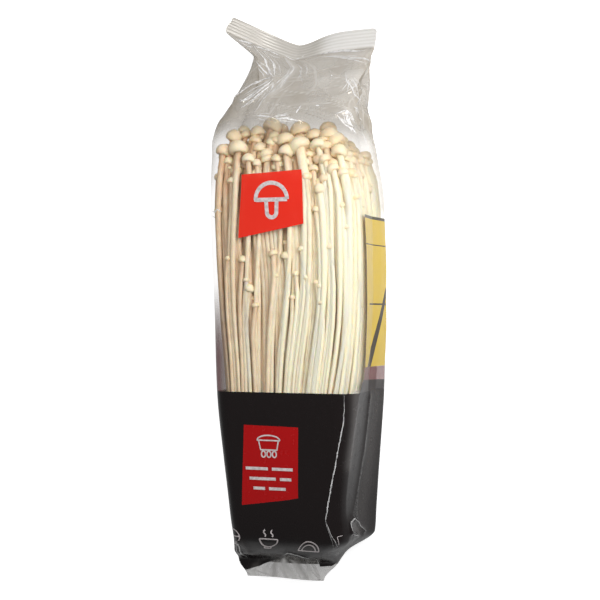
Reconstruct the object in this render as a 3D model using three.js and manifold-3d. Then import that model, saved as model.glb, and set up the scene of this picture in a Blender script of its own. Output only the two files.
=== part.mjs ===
// A bunch of enoki mushrooms in its printed film bag, lying on its back.
// Millimetres: +X across the bag, +Y from the root base to the caps, +Z up from the surface it lies on.
// The origin is on the flat back of the bag, halfway along it.
import * as THREE from 'three';
import { mergeVertices } from 'three/addons/utils/BufferGeometryUtils.js';
import Module from 'manifold-3d';

const wasm = await Module();
wasm.setup();

// Driving dimensions of the bag
const FILM = 0.7; // wall of the film as modelled, far thicker than real film
const GAP = 0.35; // air between solids that touch
const PRINT_EDGE_Y = -34; // the black print covers the bag below this height
const BOTTOM_SEAL_Y = -100.5; // the clear bottom seal starts here
const TOP_HOLLOW_Y = 90.5; // the hollow of the bag ends under the top seal
const BOTTOM_HOLLOW_Y = -99;
const CORNER_STEPS = 3;
const FACE_STEPS = 9; // stretches of the film across the front and the back
const RING_STEP = 18; // longest stretch between two rings of the film

// The top seal is bent: it dips at one place and its two ears rise from there
const SEAL_DIP_X = -4.8;
const SEAL_DIP_WIDTH = 11.2;
const SEAL_EAR_REACH = 28;
const SEAL_LEFT_RISE = 12.2;
const SEAL_LEFT_BEND = 1.15; // at 1 the left ear would rise in a straight line
const SEAL_RIGHT_RISE = 2.4;
const SEAL_LEFT_LIFT = 3.5;
const SEAL_RIGHT_LIFT = 1.2;
const SEAL_CURL = [0.8, 4.5]; // at the dip its edge also curls down and back this far
const SEAL_CURL_FROM_Y = 93;
const BEND_FROM_Y = 70;
const BEND_FULL_Y = 93;

// Folds pressed into the front of the empty neck, each from one point [x, y] to another
const NECK_FOLDS = [
  { from: [-5, 91], to: [-17, 67], depth: -2.6, width: 2.6 },
  { from: [-11, 91], to: [-20, 76], depth: 1.6, width: 2.4 },
  { from: [0, 91], to: [2, 70], depth: 1.5, width: 3.2 },
  { from: [9, 91], to: [18, 68], depth: -2.2, width: 3 },
];
// The bottom seal is crumpled in waves
const BOTTOM_WAVE = 1.3;
const BOTTOM_WAVE_UP = 0.2; // the share of the wave that also moves its edge up and down
const BOTTOM_WAVE_PITCH = 4.6;
const BOTTOM_WAVE_FROM_Y = -94;
const BOTTOM_WAVE_FULL_Y = -100;

// The bag's section at chosen heights: its side walls, its back and front, its corner radius, how far
// the gusset folds in at each side, and how far the front's right edge leans in over the back's.
const BAG = [
  { y: -107, left: -21.2, right: 9, back: 13, front: 15, corner: 0.8, gusset: 0, lean: 0 },
  { y: BOTTOM_SEAL_Y, left: -25.5, right: 14, back: 12.4, front: 15.6, corner: 1.2, gusset: 0, lean: 0 },
  { y: -96, left: -25, right: 16.5, back: 5.5, front: 26, corner: 5, gusset: 0, lean: 1.5 },
  { y: -88, left: -22.2, right: 26.6, back: 0.6, front: 35.5, corner: 6, gusset: 3, lean: 4.5 },
  { y: -78, left: -22.6, right: 27.1, back: 0, front: 38, corner: 6, gusset: 3.5, lean: 5.5 },
  { y: -58, left: -24.3, right: 28.5, back: 0, front: 39.8, corner: 6, gusset: 3, lean: 4 },
  { y: -34, left: -26.7, right: 30.4, back: 0, front: 41, corner: 7, gusset: 2.2, lean: 1.8 },
  { y: 0, left: -28.3, right: 31.6, back: 0, front: 41, corner: 8, gusset: 1.4, lean: 0.6 },
  { y: 38, left: -29.8, right: 30.6, back: 0, front: 41, corner: 8, gusset: 1, lean: 0 },
  { y: 57, left: -29.7, right: 27.6, back: 0, front: 40, corner: 8.5, gusset: 1.2, lean: 0 },
  { y: 66, left: -28, right: 26, back: 0, front: 37, corner: 9, gusset: 1.8, lean: 0 },
  { y: 74, left: -25.2, right: 24.8, back: 0.6, front: 30, corner: 8, gusset: 2.5, lean: 0 },
  { y: 82, left: -21.8, right: 25, back: 2.4, front: 21.5, corner: 6, gusset: 3, lean: 0 },
  { y: 89, left: -20.6, right: 25.6, back: 5.4, front: 13.8, corner: 3, gusset: 0, lean: 0 },
  { y: 94, left: -33, right: 28, back: 7.9, front: 10.1, corner: 0.9, gusset: 0, lean: 0 },
  { y: 101, left: -30.6, right: 28.8, back: 8.1, front: 9.9, corner: 0.7, gusset: 0, lean: 0 },
];

// Driving dimensions of the bunch
const CLEAR = FILM + GAP + 0.15; // the bunch stays this far inside the bag's outer face
const BASE_BOTTOM_Y = -92.5;
const BASE_TOP_Y = -77;
const ROOT_Y = -84; // the stems are rooted this deep in the base
const CORE_TOP_Y = 44;
const CORE_RIDGES = 30; // the core is fluted like the stems that it stands for
const CORE_INSETS = [5.7, 6.9];
const BUNCH_CORNER = 7.5;
const CAP_SPREAD = 12; // a stem leans in to make room for its cap over this length

// Rows of mushrooms from the outside in. Each has its count, how deep its stems stand inside the
// bunch, the share of short ones and the range of heights of the tall ones.
const ROWS = [
  { name: 'outer', count: 50, inset: 0, shortShare: 0.52, tall: [46, 61], root: ROOT_Y, stretches: 3 },
  { name: 'second', count: 34, inset: 3.1, shortShare: 0.1, tall: [50, 64.5], root: ROOT_Y, stretches: 2 },
  { name: 'third', count: 17, inset: 8, shortShare: 0, tall: [54, 65], root: CORE_TOP_Y - 5, stretches: 1 },
  { name: 'heart', count: 9, inset: 13, shortShare: 0, tall: [56, 65.5], root: CORE_TOP_Y - 5, stretches: 1 },
];
const SHORT_HEIGHTS = [-8, 45];
const SHORT_CAP = [1.5, 2.2];
const TALL_CAP = [2.4, 3.5];
const SHORT_STEM = [0.85, 1.1];
const TALL_STEM = [1.1, 1.35];
const SWAY = 0.9; // sideways sway that neighbours share
const SWAY_PITCH = 31;
const SWAY_GROWTH = 40; // it grows over this length above the base
const CAP_HEIGHT = 1.35; // of its radius
const SMALL_CAP = 2.3; // a cap under this radius has fewer sides
const SMALL_SIDES = 5;
const LARGE_SIDES = 6;

// A fixed draw from 0 to 1 for item i and purpose k
function draw(i, k) {
  const value = Math.sin(i * 12.9898 + k * 78.233) * 43758.5453;
  return value - Math.floor(value);
}

const mix = (range, t) => range[0] + (range[1] - range[0]) * t;
const smooth = (t) => THREE.MathUtils.smoothstep(t, 0, 1);

// The bag's section at any height, eased between the chosen ones
function bagSection(y) {
  const last = BAG.length - 2;
  let i = BAG.findIndex((station, n) => n <= last && y <= BAG[n + 1].y);
  if (i < 0) i = last;
  const low = BAG[i];
  const high = BAG[i + 1];
  const t = THREE.MathUtils.clamp((y - low.y) / (high.y - low.y), 0, 1);
  const section = {};
  for (const key of Object.keys(low)) section[key] = low[key] + (high[key] - low[key]) * t;
  return section;
}

// The height of a pressed fold over a point of the front
function foldHeight(fold, x, y) {
  const along = new THREE.Vector2(...fold.to).sub(new THREE.Vector2(...fold.from));
  const from = new THREE.Vector2(x - fold.from[0], y - fold.from[1]);
  const t = from.dot(along) / along.lengthSq();
  const off = Math.abs(from.cross(along)) / along.length();
  if (t < 0 || t > 1) return 0;
  return fold.depth * Math.sin(Math.PI * t) * Math.exp(-((off / fold.width) ** 2));
}

// Moves a point of the tidy bag to where it lies: the leaning front edge, the bent top seal,
// the pressed folds of the neck and the crumpled bottom seal
function settle(x, y, z) {
  const s = bagSection(y);
  const centre = (s.left + s.right) / 2;
  const middle = (s.back + s.front) / 2;
  const frontShare = THREE.MathUtils.clamp((z - middle) / (s.front - middle), 0, 1);
  const rightShare = THREE.MathUtils.clamp((x - centre) / (s.right - centre), 0, 1);
  const bent = smooth((y - BEND_FROM_Y) / (BEND_FULL_Y - BEND_FROM_Y));
  const side = (x - SEAL_DIP_X) / SEAL_EAR_REACH;
  const dip = Math.exp(-(((x - SEAL_DIP_X) / SEAL_DIP_WIDTH) ** 2));
  const leftRise = SEAL_LEFT_RISE * Math.abs(side) ** SEAL_LEFT_BEND;
  const rise = side < 0 ? leftRise : SEAL_RIGHT_RISE * (1 - dip);
  const lift = (side < 0 ? SEAL_LEFT_LIFT : SEAL_RIGHT_LIFT) * side * side;
  const fold = NECK_FOLDS.reduce((sum, one) => sum + foldHeight(one, x, y), 0);
  const waved = smooth((BOTTOM_WAVE_FROM_Y - y) / (BOTTOM_WAVE_FROM_Y - BOTTOM_WAVE_FULL_Y));
  const wave = BOTTOM_WAVE * waved;
  const curl = dip * Math.max(0, (y - SEAL_CURL_FROM_Y) / (BAG.at(-1).y - SEAL_CURL_FROM_Y));
  return new THREE.Vector3(
    x - s.lean * frontShare * rightShare,
    y + rise * bent - SEAL_CURL[0] * curl - BOTTOM_WAVE_UP * wave * Math.cos(x / BOTTOM_WAVE_PITCH + 1),
    z + lift * bent - SEAL_CURL[1] * curl + fold * frontShare + wave * Math.sin(x / BOTTOM_WAVE_PITCH),
  );
}

// Points from a to b in equal steps, without the ends
function between(a, b, steps) {
  return Array.from({ length: steps - 1 }, (unused, k) => a + (b - a) * (k + 1) / steps);
}

// One closed ring of the bag: a rounded box with a fold in the middle of each side
function bagRing(y, inset) {
  const s = bagSection(y);
  const left = s.left + inset;
  const right = s.right - inset;
  const back = s.back + inset;
  const front = s.front - inset;
  const r = Math.max(0.3, Math.min(s.corner - inset, (front - back) / 2.2));
  const middle = (back + front) / 2;
  const corner = (x, z, quarter) => Array.from({ length: CORNER_STEPS + 1 }, (unused, k) => {
    const angle = (quarter + k / CORNER_STEPS) * Math.PI / 2;
    return [x + r * Math.cos(angle), z + r * Math.sin(angle)];
  });
  const points = [
    [right - s.gusset, middle],
    ...corner(right - r, front - r, 0),
    ...between(right - r, left + r, FACE_STEPS).map((x) => [x, front]),
    ...corner(left + r, front - r, 1),
    [left + s.gusset, middle],
    ...corner(left + r, back + r, 2),
    ...between(left + r, right - r, FACE_STEPS).map((x) => [x, back]),
    ...corner(right - r, back + r, 3),
  ];
  return points.map(([x, z]) => settle(x, y, z));
}

// A closed solid through a list of rings with the same even count of points. Each end is closed by
// a strip between a ring's two halves, so that a bent end stays flat across.
function loft(rings) {
  const count = rings[0].length;
  const index = [];
  for (let j = 0; j < rings.length - 1; j++) {
    for (let i = 0; i < count; i++) {
      const a = j * count + i;
      const b = j * count + (i + 1) % count;
      index.push(a, a + count, b, b, a + count, b + count);
    }
  }
  const last = (rings.length - 1) * count;
  for (let i = 0; i < count / 2; i++) {
    const ends = [i, i + 1, count - 1 - i, (count - i) % count];
    const [a, b, c, d] = ends;
    if (i < count / 2 - 1) index.push(a, b, c, last + a, last + c, last + b);
    if (i > 0) index.push(a, c, d, last + a, last + d, last + c);
  }
  return new THREE.BufferGeometry().setFromPoints(rings.flat()).setIndex(index);
}

// A three.js geometry as a manifold-3d solid, and back
function solidOf(geometry) {
  const plain = geometry.clone();
  plain.deleteAttribute('normal');
  plain.deleteAttribute('uv');
  const merged = mergeVertices(plain, 1e-4);
  return new wasm.Manifold(new wasm.Mesh({
    numProp: 3,
    vertProperties: new Float32Array(merged.attributes.position.array),
    triVerts: new Uint32Array(merged.index.array),
  }));
}

function geometryOf(solid) {
  const mesh = solid.getMesh();
  const geometry = new THREE.BufferGeometry();
  geometry.setAttribute('position', new THREE.BufferAttribute(mesh.vertProperties, 3));
  geometry.setIndex(new THREE.BufferAttribute(mesh.triVerts, 1));
  return geometry;
}

// The largest body of a solid, with sealed hollows filled and loose scraps dropped
function largestBody(solid) {
  return solid.decompose().reduce((best, body) => (body.volume() > best.volume() ? body : best));
}

// Heights of the film's rings between two ends: every chosen station, and more where they lie far apart
function ringHeights(from, to) {
  const marks = [from, ...BAG.map((s) => s.y).filter((y) => y > from + 0.5 && y < to - 0.5), to];
  const heights = [];
  for (let i = 0; i < marks.length - 1; i++) {
    const parts = Math.ceil((marks[i + 1] - marks[i]) / RING_STEP);
    for (let k = 0; k < parts; k++) heights.push(marks[i] + (marks[i + 1] - marks[i]) * k / parts);
  }
  return [...heights, to];
}

function bagSolid(from, to, inset) {
  return solidOf(loft(ringHeights(from, to).map((y) => bagRing(y, inset))));
}

// A box wider than the bag between two heights, to cut it by
function slice(from, to) {
  const box = new THREE.BoxGeometry(200, to - from, 200);
  return solidOf(box.translate(0, (from + to) / 2, 0));
}

// The bag: one film tube, closed at both ends by flat seals, cut where its print changes colour
function makeBag() {
  const outside = bagSolid(BAG[0].y, BAG.at(-1).y, 0);
  const hollow = bagSolid(BOTTOM_HOLLOW_Y, TOP_HOLLOW_Y, FILM);
  const film = outside.subtract(hollow);
  const half = GAP / 2;
  return {
    clear: film.intersect(slice(PRINT_EDGE_Y + half, 150)),
    black: film.intersect(slice(BOTTOM_SEAL_Y + half, PRINT_EDGE_Y - half)),
    seal: film.intersect(slice(-150, BOTTOM_SEAL_Y - half)),
  };
}

// The bunch's section at any height: what the bag leaves free
function bunchSection(y, inset) {
  const s = bagSection(y);
  const side = CLEAR + s.gusset + inset;
  return {
    x: (s.left + s.right) / 2,
    z: (s.back + s.front) / 2,
    halfWidth: (s.right - s.left) / 2 - side,
    halfDepth: (s.front - s.back) / 2 - CLEAR - inset,
    corner: Math.max(1, BUNCH_CORNER - inset),
  };
}

// The point at share t of the way round the section, as [x, z]. t 0 is the middle of the front.
function around(t, section) {
  const { halfWidth: w, halfDepth: d } = section;
  const r = Math.min(section.corner, w, d);
  const arc = Math.PI * r / 2;
  const legs = [w - r, arc, 2 * (d - r), arc, 2 * (w - r), arc, 2 * (d - r), arc, w - r];
  let left = (t - Math.floor(t)) * legs.reduce((sum, leg) => sum + leg);
  let n = 0;
  while (n < legs.length - 1 && left > legs[n]) left -= legs[n++];
  const turn = n % 2 ? (left / arc) * Math.PI / 2 : 0;
  const starts = [
    [left, d], [w - r, d - r, Math.PI / 2], [w, d - r - left], [w - r, r - d, 0],
    [w - r - left, -d], [r - w, r - d, -Math.PI / 2], [-w, left + r - d], [r - w, d - r, Math.PI],
    [left + r - w, d],
  ];
  const [a, b, angle] = starts[n];
  if (!(n % 2)) return [section.x + a, section.z + b];
  return [section.x + a + r * Math.cos(angle - turn), section.z + b + r * Math.sin(angle - turn)];
}

// Where and how one mushroom stands: its place in the row, its height and its sizes
function mushroomPlan(row, rowNumber, i) {
  const id = rowNumber * 100 + i;
  const short = draw(id, 1) < row.shortShare;
  const height = mix(short ? SHORT_HEIGHTS : row.tall, draw(id, 2));
  const growth = short ? THREE.MathUtils.mapLinear(height, ...SHORT_HEIGHTS, 0, 1) : draw(id, 3);
  return {
    id,
    height,
    share: (i + 0.5 + 0.3 * (draw(id, 4) - 0.5)) / row.count,
    cap: mix(short ? SHORT_CAP : TALL_CAP, growth),
    stem: mix(short ? SHORT_STEM : TALL_STEM, draw(id, 5)),
    inset: row.inset + 0.2 * draw(id, 6),
    root: row.root,
    stretches: row.stretches,
  };
}

// The stem's centre at height y. It leans in below its cap, and neighbours sway together.
function stemCentre(plan, y) {
  const lean = smooth((y - plan.height + CAP_SPREAD) / CAP_SPREAD);
  const room = plan.stem + (plan.cap - plan.stem) * lean;
  const sway = SWAY * Math.sin(y / SWAY_PITCH + 9 * plan.share) * smooth((y - BASE_TOP_Y) / SWAY_GROWTH);
  const section = bunchSection(y, plan.inset + room);
  const perimeter = 4 * (section.halfWidth + section.halfDepth);
  return around(plan.share + sway / perimeter, section);
}

// A stem and its cap turned in one profile, then bent along the stem's own line
function mushroom(plan) {
  const { cap, stem, height, root, stretches } = plan;
  const neck = height - CAP_HEIGHT * cap;
  const profile = [[0, root]];
  for (let k = 0; k <= stretches; k++) {
    const t = k / stretches;
    profile.push([stem * (0.85 + 0.15 * t), root + (neck - root) * t]);
  }
  profile.push([cap, neck + 0.22 * cap], [0.84 * cap, neck + 0.86 * cap], [0, height]);
  const outline = profile.map(([r, y]) => new THREE.Vector2(r, y));
  const turned = new THREE.LatheGeometry(outline, cap < SMALL_CAP ? SMALL_SIDES : LARGE_SIDES);
  turned.rotateY(Math.PI * draw(plan.id, 7));
  const place = turned.attributes.position;
  for (let v = 0; v < place.count; v++) {
    const y = place.getY(v);
    const [x, z] = stemCentre(plan, Math.min(y, height));
    const moved = settle(x, y, z);
    place.setXYZ(v, place.getX(v) + moved.x, y, place.getZ(v) + z);
  }
  return turned;
}

// A solid of the bunch's own section through stations [y, insets]. Several insets make it fluted.
// Each flat end is closed by a ring that is drawn together in the middle of the section.
function bunchLoft(stations, steps) {
  const rings = stations.map(([y, ...insets]) => Array.from({ length: steps }, (unused, k) => {
    const [x, z] = around(1 - k / steps, bunchSection(y, insets[k % insets.length]));
    return new THREE.Vector3(settle(x, y, z).x, y, z);
  }));
  const [first, last] = [stations[0][0], stations.at(-1)[0]].map((y) => {
    const { x, z } = bunchSection(y, 0);
    return new Array(steps).fill(new THREE.Vector3(x, y, z));
  });
  return solidOf(loft([first, ...rings, last]));
}

// The bunch grew as one piece: root base, dense heart, stems and caps are joined
function makeBunch() {
  const base = bunchLoft([
    [BASE_BOTTOM_Y, 3.6], [BASE_BOTTOM_Y + 2, 1.2], [ROOT_Y, 0.3], [BASE_TOP_Y, 1.2],
  ], 32);
  const core = bunchLoft([
    [BASE_TOP_Y - 2, ...CORE_INSETS], [CORE_TOP_Y, ...CORE_INSETS],
  ], 2 * CORE_RIDGES);
  let bunch = base.add(core);
  ROWS.forEach((row, rowNumber) => {
    for (let i = 0; i < row.count; i++) {
      bunch = bunch.add(solidOf(mushroom(mushroomPlan(row, rowNumber, i))));
    }
  });
  return largestBody(bunch);
}

const flesh = new THREE.MeshStandardMaterial({ name: 'mushroom_flesh', color: 0xf1e6c8, roughness: 0.6 });
const clearFilm = new THREE.MeshStandardMaterial({
  name: 'clear_film', color: 0xd9d4d8, roughness: 0.12, transparent: true, opacity: 0.28,
});
const blackFilm = new THREE.MeshStandardMaterial({ name: 'black_film', color: 0x14100f, roughness: 0.2 });

function node(name, solid, material) {
  const mesh = new THREE.Mesh(geometryOf(solid), material);
  mesh.name = name;
  return mesh;
}

const bag = makeBag();
const pack = new THREE.Group();
pack.add(node('enoki_bunch', makeBunch(), flesh));
pack.add(node('bag_clear_film', bag.clear, clearFilm));
pack.add(node('bag_black_film', bag.black, blackFilm));
pack.add(node('bag_bottom_seal', bag.seal, clearFilm));

export default pack;
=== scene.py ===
"""A bunch of enoki mushrooms in its printed film bag, on its back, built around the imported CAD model."""

import logging
import math
import random
from dataclasses import dataclass
from enum import Enum

import bmesh
import bpy
import numpy as np
from mathutils import Matrix, Vector


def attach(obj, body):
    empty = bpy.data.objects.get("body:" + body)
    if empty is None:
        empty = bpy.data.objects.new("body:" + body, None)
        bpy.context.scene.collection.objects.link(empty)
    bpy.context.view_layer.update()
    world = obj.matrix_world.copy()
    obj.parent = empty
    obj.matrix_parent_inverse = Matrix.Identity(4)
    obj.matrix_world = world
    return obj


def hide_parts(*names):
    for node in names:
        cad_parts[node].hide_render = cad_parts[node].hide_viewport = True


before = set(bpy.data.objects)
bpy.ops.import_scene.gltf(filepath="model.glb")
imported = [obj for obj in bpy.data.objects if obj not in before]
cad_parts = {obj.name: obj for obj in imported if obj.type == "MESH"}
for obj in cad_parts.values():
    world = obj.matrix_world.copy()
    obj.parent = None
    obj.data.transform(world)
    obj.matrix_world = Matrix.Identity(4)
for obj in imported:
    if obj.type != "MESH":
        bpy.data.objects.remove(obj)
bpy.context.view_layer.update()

MM = 0.001
BODY = "root"
FILM_MAP_SPAN = 240.0
FAR = 99.0
LEGS = 9

Line = tuple[tuple[float, float], ...]
Colour = tuple[float, float, float, float]
Socket = bpy.types.NodeSocket
Node = bpy.types.Node
Tree = bpy.types.NodeTree
Object = bpy.types.Object
Material = bpy.types.Material
Mesh = bpy.types.Mesh

log = logging.getLogger("enoki")


# Names


class Piece(Enum):
    """The scene's pieces, by their object names."""

    STEMS = "stems"
    CAPS = "caps"
    ROOT_BASE = "root_base"
    CLEAR_FILM = "film_clear"
    BLACK_FILM = "film_black"
    SEAL_FILM = "film_bottom_seal"
    # Painted highlights along the creases.
    OUTLINES = "print_outlines"
    CREASE_GLINTS = "film_creases"


class Slot(Enum):
    """The record's material slots."""

    FLESH = "mushroom_flesh"
    CLEAR = "clear_film"
    BLACK = "black_film"


# The bag's form


@dataclass(frozen=True)
class Station:
    """The bag's section at one height, in millimetres: the CAD model's, but wider at the lower left."""

    y: float
    left: float
    right: float
    back: float
    front: float
    corner: float
    gusset: float
    lean: float


@dataclass(frozen=True)
class Stroke:
    """A line on the film through some places, each the way round and the height in millimetres.

    A pressed crease also stands up from the film by its height, over about its spread to each side. Its
    gleam is the strength of its painted highlight; below zero, in a soft zone, it paints shade instead.
    """

    places: Line
    width: float = 0.4
    height: float = 0.6
    gleam: float = 0.9
    spread: float = 1.1

    def distance(self, way: np.ndarray, y: np.ndarray) -> np.ndarray:
        """Measures how far places on the film are from the line.

        Args:
            way: true distances round the front, in millimetres.
            y: heights, in millimetres.

        Returns:
            The distances.
        """
        nearest = np.full(len(way), FAR)
        for start, end in zip(self.places, self.places[1:]):
            along = np.subtract(end, start)
            away = np.stack([way - start[0], y - start[1]], axis=1)
            t = np.clip(away @ along / (along @ along), 0, 1)
            nearest = np.minimum(nearest, np.linalg.norm(away - t[:, None] * along, axis=1))
        return nearest


@dataclass(frozen=True)
class Crumple:
    """Random sharp folds, as crushed film has: overlaid triangular waves, each in a direction of its own."""

    folds: int
    pitch: tuple[float, float]
    height: float
    seed: int

    def waves(self, points: np.ndarray) -> tuple[np.ndarray, np.ndarray]:
        """Works out the folds at some points.

        Args:
            points: places on the tidy bag, in millimetres, one in each row.

        Returns:
            The height of the film there in millimetres, and how much each point lies on a crease, 0 to 1.
        """
        draw = random.Random(self.seed)
        height = np.zeros(len(points))
        crease = np.zeros(len(points))
        for _ in range(self.folds):
            aim = np.array([draw.gauss(0, 1) for _ in range(3)])
            aim /= np.linalg.norm(aim)
            side = np.cross(aim, [draw.gauss(0, 1) for _ in range(3)])
            side /= np.linalg.norm(side)
            pitch = draw.uniform(*self.pitch)
            phases = [draw.uniform(0, 2 * math.pi) for _ in range(4)]
            along = points @ aim
            across = points @ side
            bent = along + 0.3 * pitch * np.sin(across / (1.3 * pitch) + phases[0])
            wave = 4 * np.abs((bent / pitch + phases[1]) % 1 - 0.5) - 1
            patch = np.sin(across / (1.1 * pitch) + phases[2]) * np.sin(along / (2.3 * pitch) + phases[3])
            patch = np.clip(1.6 * patch, 0, 1)
            height += wave * patch
            crease = np.maximum(crease, patch * np.clip((wave - 0.86) / 0.14, 0, 1))
        return height * self.height / math.sqrt(self.folds), crease


def smooth(t: np.ndarray) -> np.ndarray:
    """Eases 0 to 1, level at both ends."""
    t = np.clip(t, 0, 1)
    return t * t * (3 - 2 * t)


def rise(at: np.ndarray, start: float, span: float) -> np.ndarray:
    """Eases from 0 at a start to 1 a span further on."""
    return smooth((at - start) / span)


def through(marks: np.ndarray, values: np.ndarray, at: np.ndarray) -> np.ndarray:
    """Draws a smooth curve through marked values that never passes them.

    Args:
        marks: the rising places of the values.
        values: the value at each mark.
        at: the places to read.

    Returns:
        The curve's value at each place.
    """
    gap = np.diff(marks)
    slope = np.diff(values) / gap
    tangent = np.zeros_like(values)
    same = slope[:-1] * slope[1:] > 0
    tangent[1:-1][same] = 2 * slope[:-1][same] * slope[1:][same] / (slope[:-1] + slope[1:])[same]
    i = np.clip(np.searchsorted(marks, at) - 1, 0, len(gap) - 1)
    t = np.clip((at - marks[i]) / gap[i], 0, 1)
    low = values[i] * (2 * t**3 - 3 * t**2 + 1) + tangent[i] * gap[i] * (t**3 - 2 * t**2 + t)
    return low + values[i + 1] * (3 * t**2 - 2 * t**3) + tangent[i + 1] * gap[i] * (t**3 - t**2)


@dataclass(frozen=True)
class BagForm:
    """The bag's shape: a tube of film with a fold down each side, pinched flat at both ends.

    A place on the film is u, the way round from the middle of the front towards +X, and y, in millimetres.
    """

    stations: tuple[Station, ...] = (
        Station(-107, -22.4, 9, 13, 15, 0.8, 0, 0),
        Station(-100.5, -26.4, 14, 12.4, 15.6, 1.2, 0, 0),
        Station(-96, -25, 16.5, 5.5, 26, 5, 0, 1.5),
        Station(-88, -22.2, 26.6, 0.6, 35.5, 6, 3, 4.5),
        Station(-78, -22.6, 27.1, 0, 38, 6, 3.5, 5.5),
        Station(-58, -24.3, 28.5, 0, 39.8, 6, 3, 4),
        Station(-34, -26.7, 30.4, 0, 41, 7, 2.2, 1.8),
        Station(0, -28.3, 31.6, 0, 41, 8, 1.4, 0.6),
        Station(38, -29.8, 30.6, 0, 41, 8, 1, 0),
        Station(57, -29.7, 27.6, 0, 40, 8.5, 1.2, 0),
        Station(66, -28, 26, 0, 37, 9, 1.8, 0),
        Station(74, -25.2, 24.8, 0.6, 30, 8, 2.5, 0),
        Station(82, -21.8, 25, 2.4, 21.5, 6, 3, 0),
        Station(89, -20.6, 25.6, 5.4, 13.8, 3, 0, 0),
        Station(94, -33, 28, 7.9, 10.1, 0.9, 0, 0),
        Station(101, -30.6, 28.8, 8.1, 9.9, 0.7, 0, 0),
    )
    front_half: float = 22.0
    corner_arc: float = 12.5
    side: float = 25.0
    skin: float = 0.15
    least_corner: float = 0.1
    corner_limit: float = 2.2
    seal_dip_x: float = -4.8
    seal_dip_width: float = 11.2
    seal_ear_reach: float = 28.0
    seal_left_rise: float = 12.2
    seal_left_bend: float = 1.15
    seal_right_rise: float = 2.4
    seal_left_lift: float = 3.5
    seal_right_lift: float = 1.2
    seal_curl: tuple[float, float] = (0.8, 4.5)
    seal_curl_from_y: float = 93.0
    seal_curl_span: float = 8.0
    bend_from_y: float = 70.0
    bend_full_y: float = 93.0
    bottom_wave: float = 1.3
    bottom_wave_up: float = 0.2
    bottom_wave_pitch: float = 4.6
    bottom_wave_from_y: float = -94.0
    bottom_wave_span: float = 6.0

    @property
    def legs(self) -> np.ndarray:
        """The lengths of the stretches round the bag, from the middle of the front towards +X."""
        half, arc, side = self.front_half, self.corner_arc, self.side
        return np.array([half, arc, side, arc, 2 * half, arc, side, arc, half])

    @property
    def girth(self) -> float:
        """The way right round the bag."""
        return float(self.legs.sum())

    def section(self, y: np.ndarray) -> dict[str, np.ndarray]:
        """Reads the bag's section at some heights.

        Args:
            y: heights in millimetres.

        Returns:
            Each of the station's values there, by name.
        """
        marks = np.array([s.y for s in self.stations])
        names = ("left", "right", "back", "front", "corner", "gusset", "lean")
        return {n: through(marks, np.array([getattr(s, n) for s in self.stations], float), y) for n in names}

    def tidy(self, u: np.ndarray, y: np.ndarray, inset: float) -> tuple[np.ndarray, np.ndarray]:
        """Finds places on the bag before it is bent and creased.

        Args:
            u: ways round, in millimetres.
            y: heights, in millimetres.
            inset: how far inside the outer face, in millimetres.

        Returns:
            The places and the outward directions, one row each.
        """
        s = self.section(y)
        left, right = s["left"] + inset, s["right"] - inset
        back, front = s["back"] + inset, s["front"] - inset
        centre = (left + right) / 2
        r = np.maximum(self.least_corner, np.minimum(s["corner"] - inset, (front - back) / self.corner_limit))
        legs = self.legs
        starts = np.concatenate([[0], np.cumsum(legs)[:-1]])
        u = np.mod(u, self.girth)
        leg = np.clip(np.searchsorted(starts, u, side="right") - 1, 0, LEGS - 1)
        t = (u - starts[leg]) / legs[leg]
        sin, cos = np.sin(t * math.pi / 2), np.cos(t * math.pi / 2)
        none, one = 0 * t, 1 + 0 * t
        fold = s["gusset"] * (1 - np.abs(2 * t - 1))
        down = front - r + (back - front + 2 * r) * t
        at = [leg == n for n in range(LEGS)]
        x = np.select(at, [
            centre + (right - r - centre) * t, right - r + r * sin, right - fold, right - r + r * cos,
            right - r + (left - right + 2 * r) * t, left + r - r * sin, left + fold, left + r - r * cos,
            left + r + (centre - left - r) * t,
        ])
        z = np.select(at, [
            front, front - r + r * cos, down, back + r - r * sin, back, back + r - r * cos,
            front + back - down, front - r + r * sin, front,
        ])
        out_x = np.select(at, [none, sin, one, cos, none, -sin, -one, -cos, none])
        out_z = np.select(at, [one, cos, none, -sin, -one, -cos, none, sin, one])
        places = np.stack([x, y, z], axis=1)
        outward = np.stack([out_x, 0 * y, out_z], axis=1)
        return places, outward

    def unroll(self, way: np.ndarray, y: np.ndarray) -> np.ndarray:
        """Turns true distances round the front and its corners into ways round the even film.

        Args:
            way: distances from the middle of the front, in millimetres.
            y: heights, in millimetres.

        Returns:
            The ways round.
        """
        s = self.section(y)
        r = np.minimum(s["corner"], (s["front"] - s["back"]) / self.corner_limit)
        flat = (s["right"] - s["left"]) / 2 - r
        far = np.abs(way)
        arc = r * math.pi / 2
        u = self.front_half + (far - flat) * self.corner_arc / arc
        u = np.where(far < flat, far * self.front_half / flat, u)
        past = far - flat - arc
        down = s["front"] - s["back"] - 2 * r
        u = np.where(past > 0, self.front_half + self.corner_arc + past * self.side / down, u)
        return np.sign(way) * u

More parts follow.
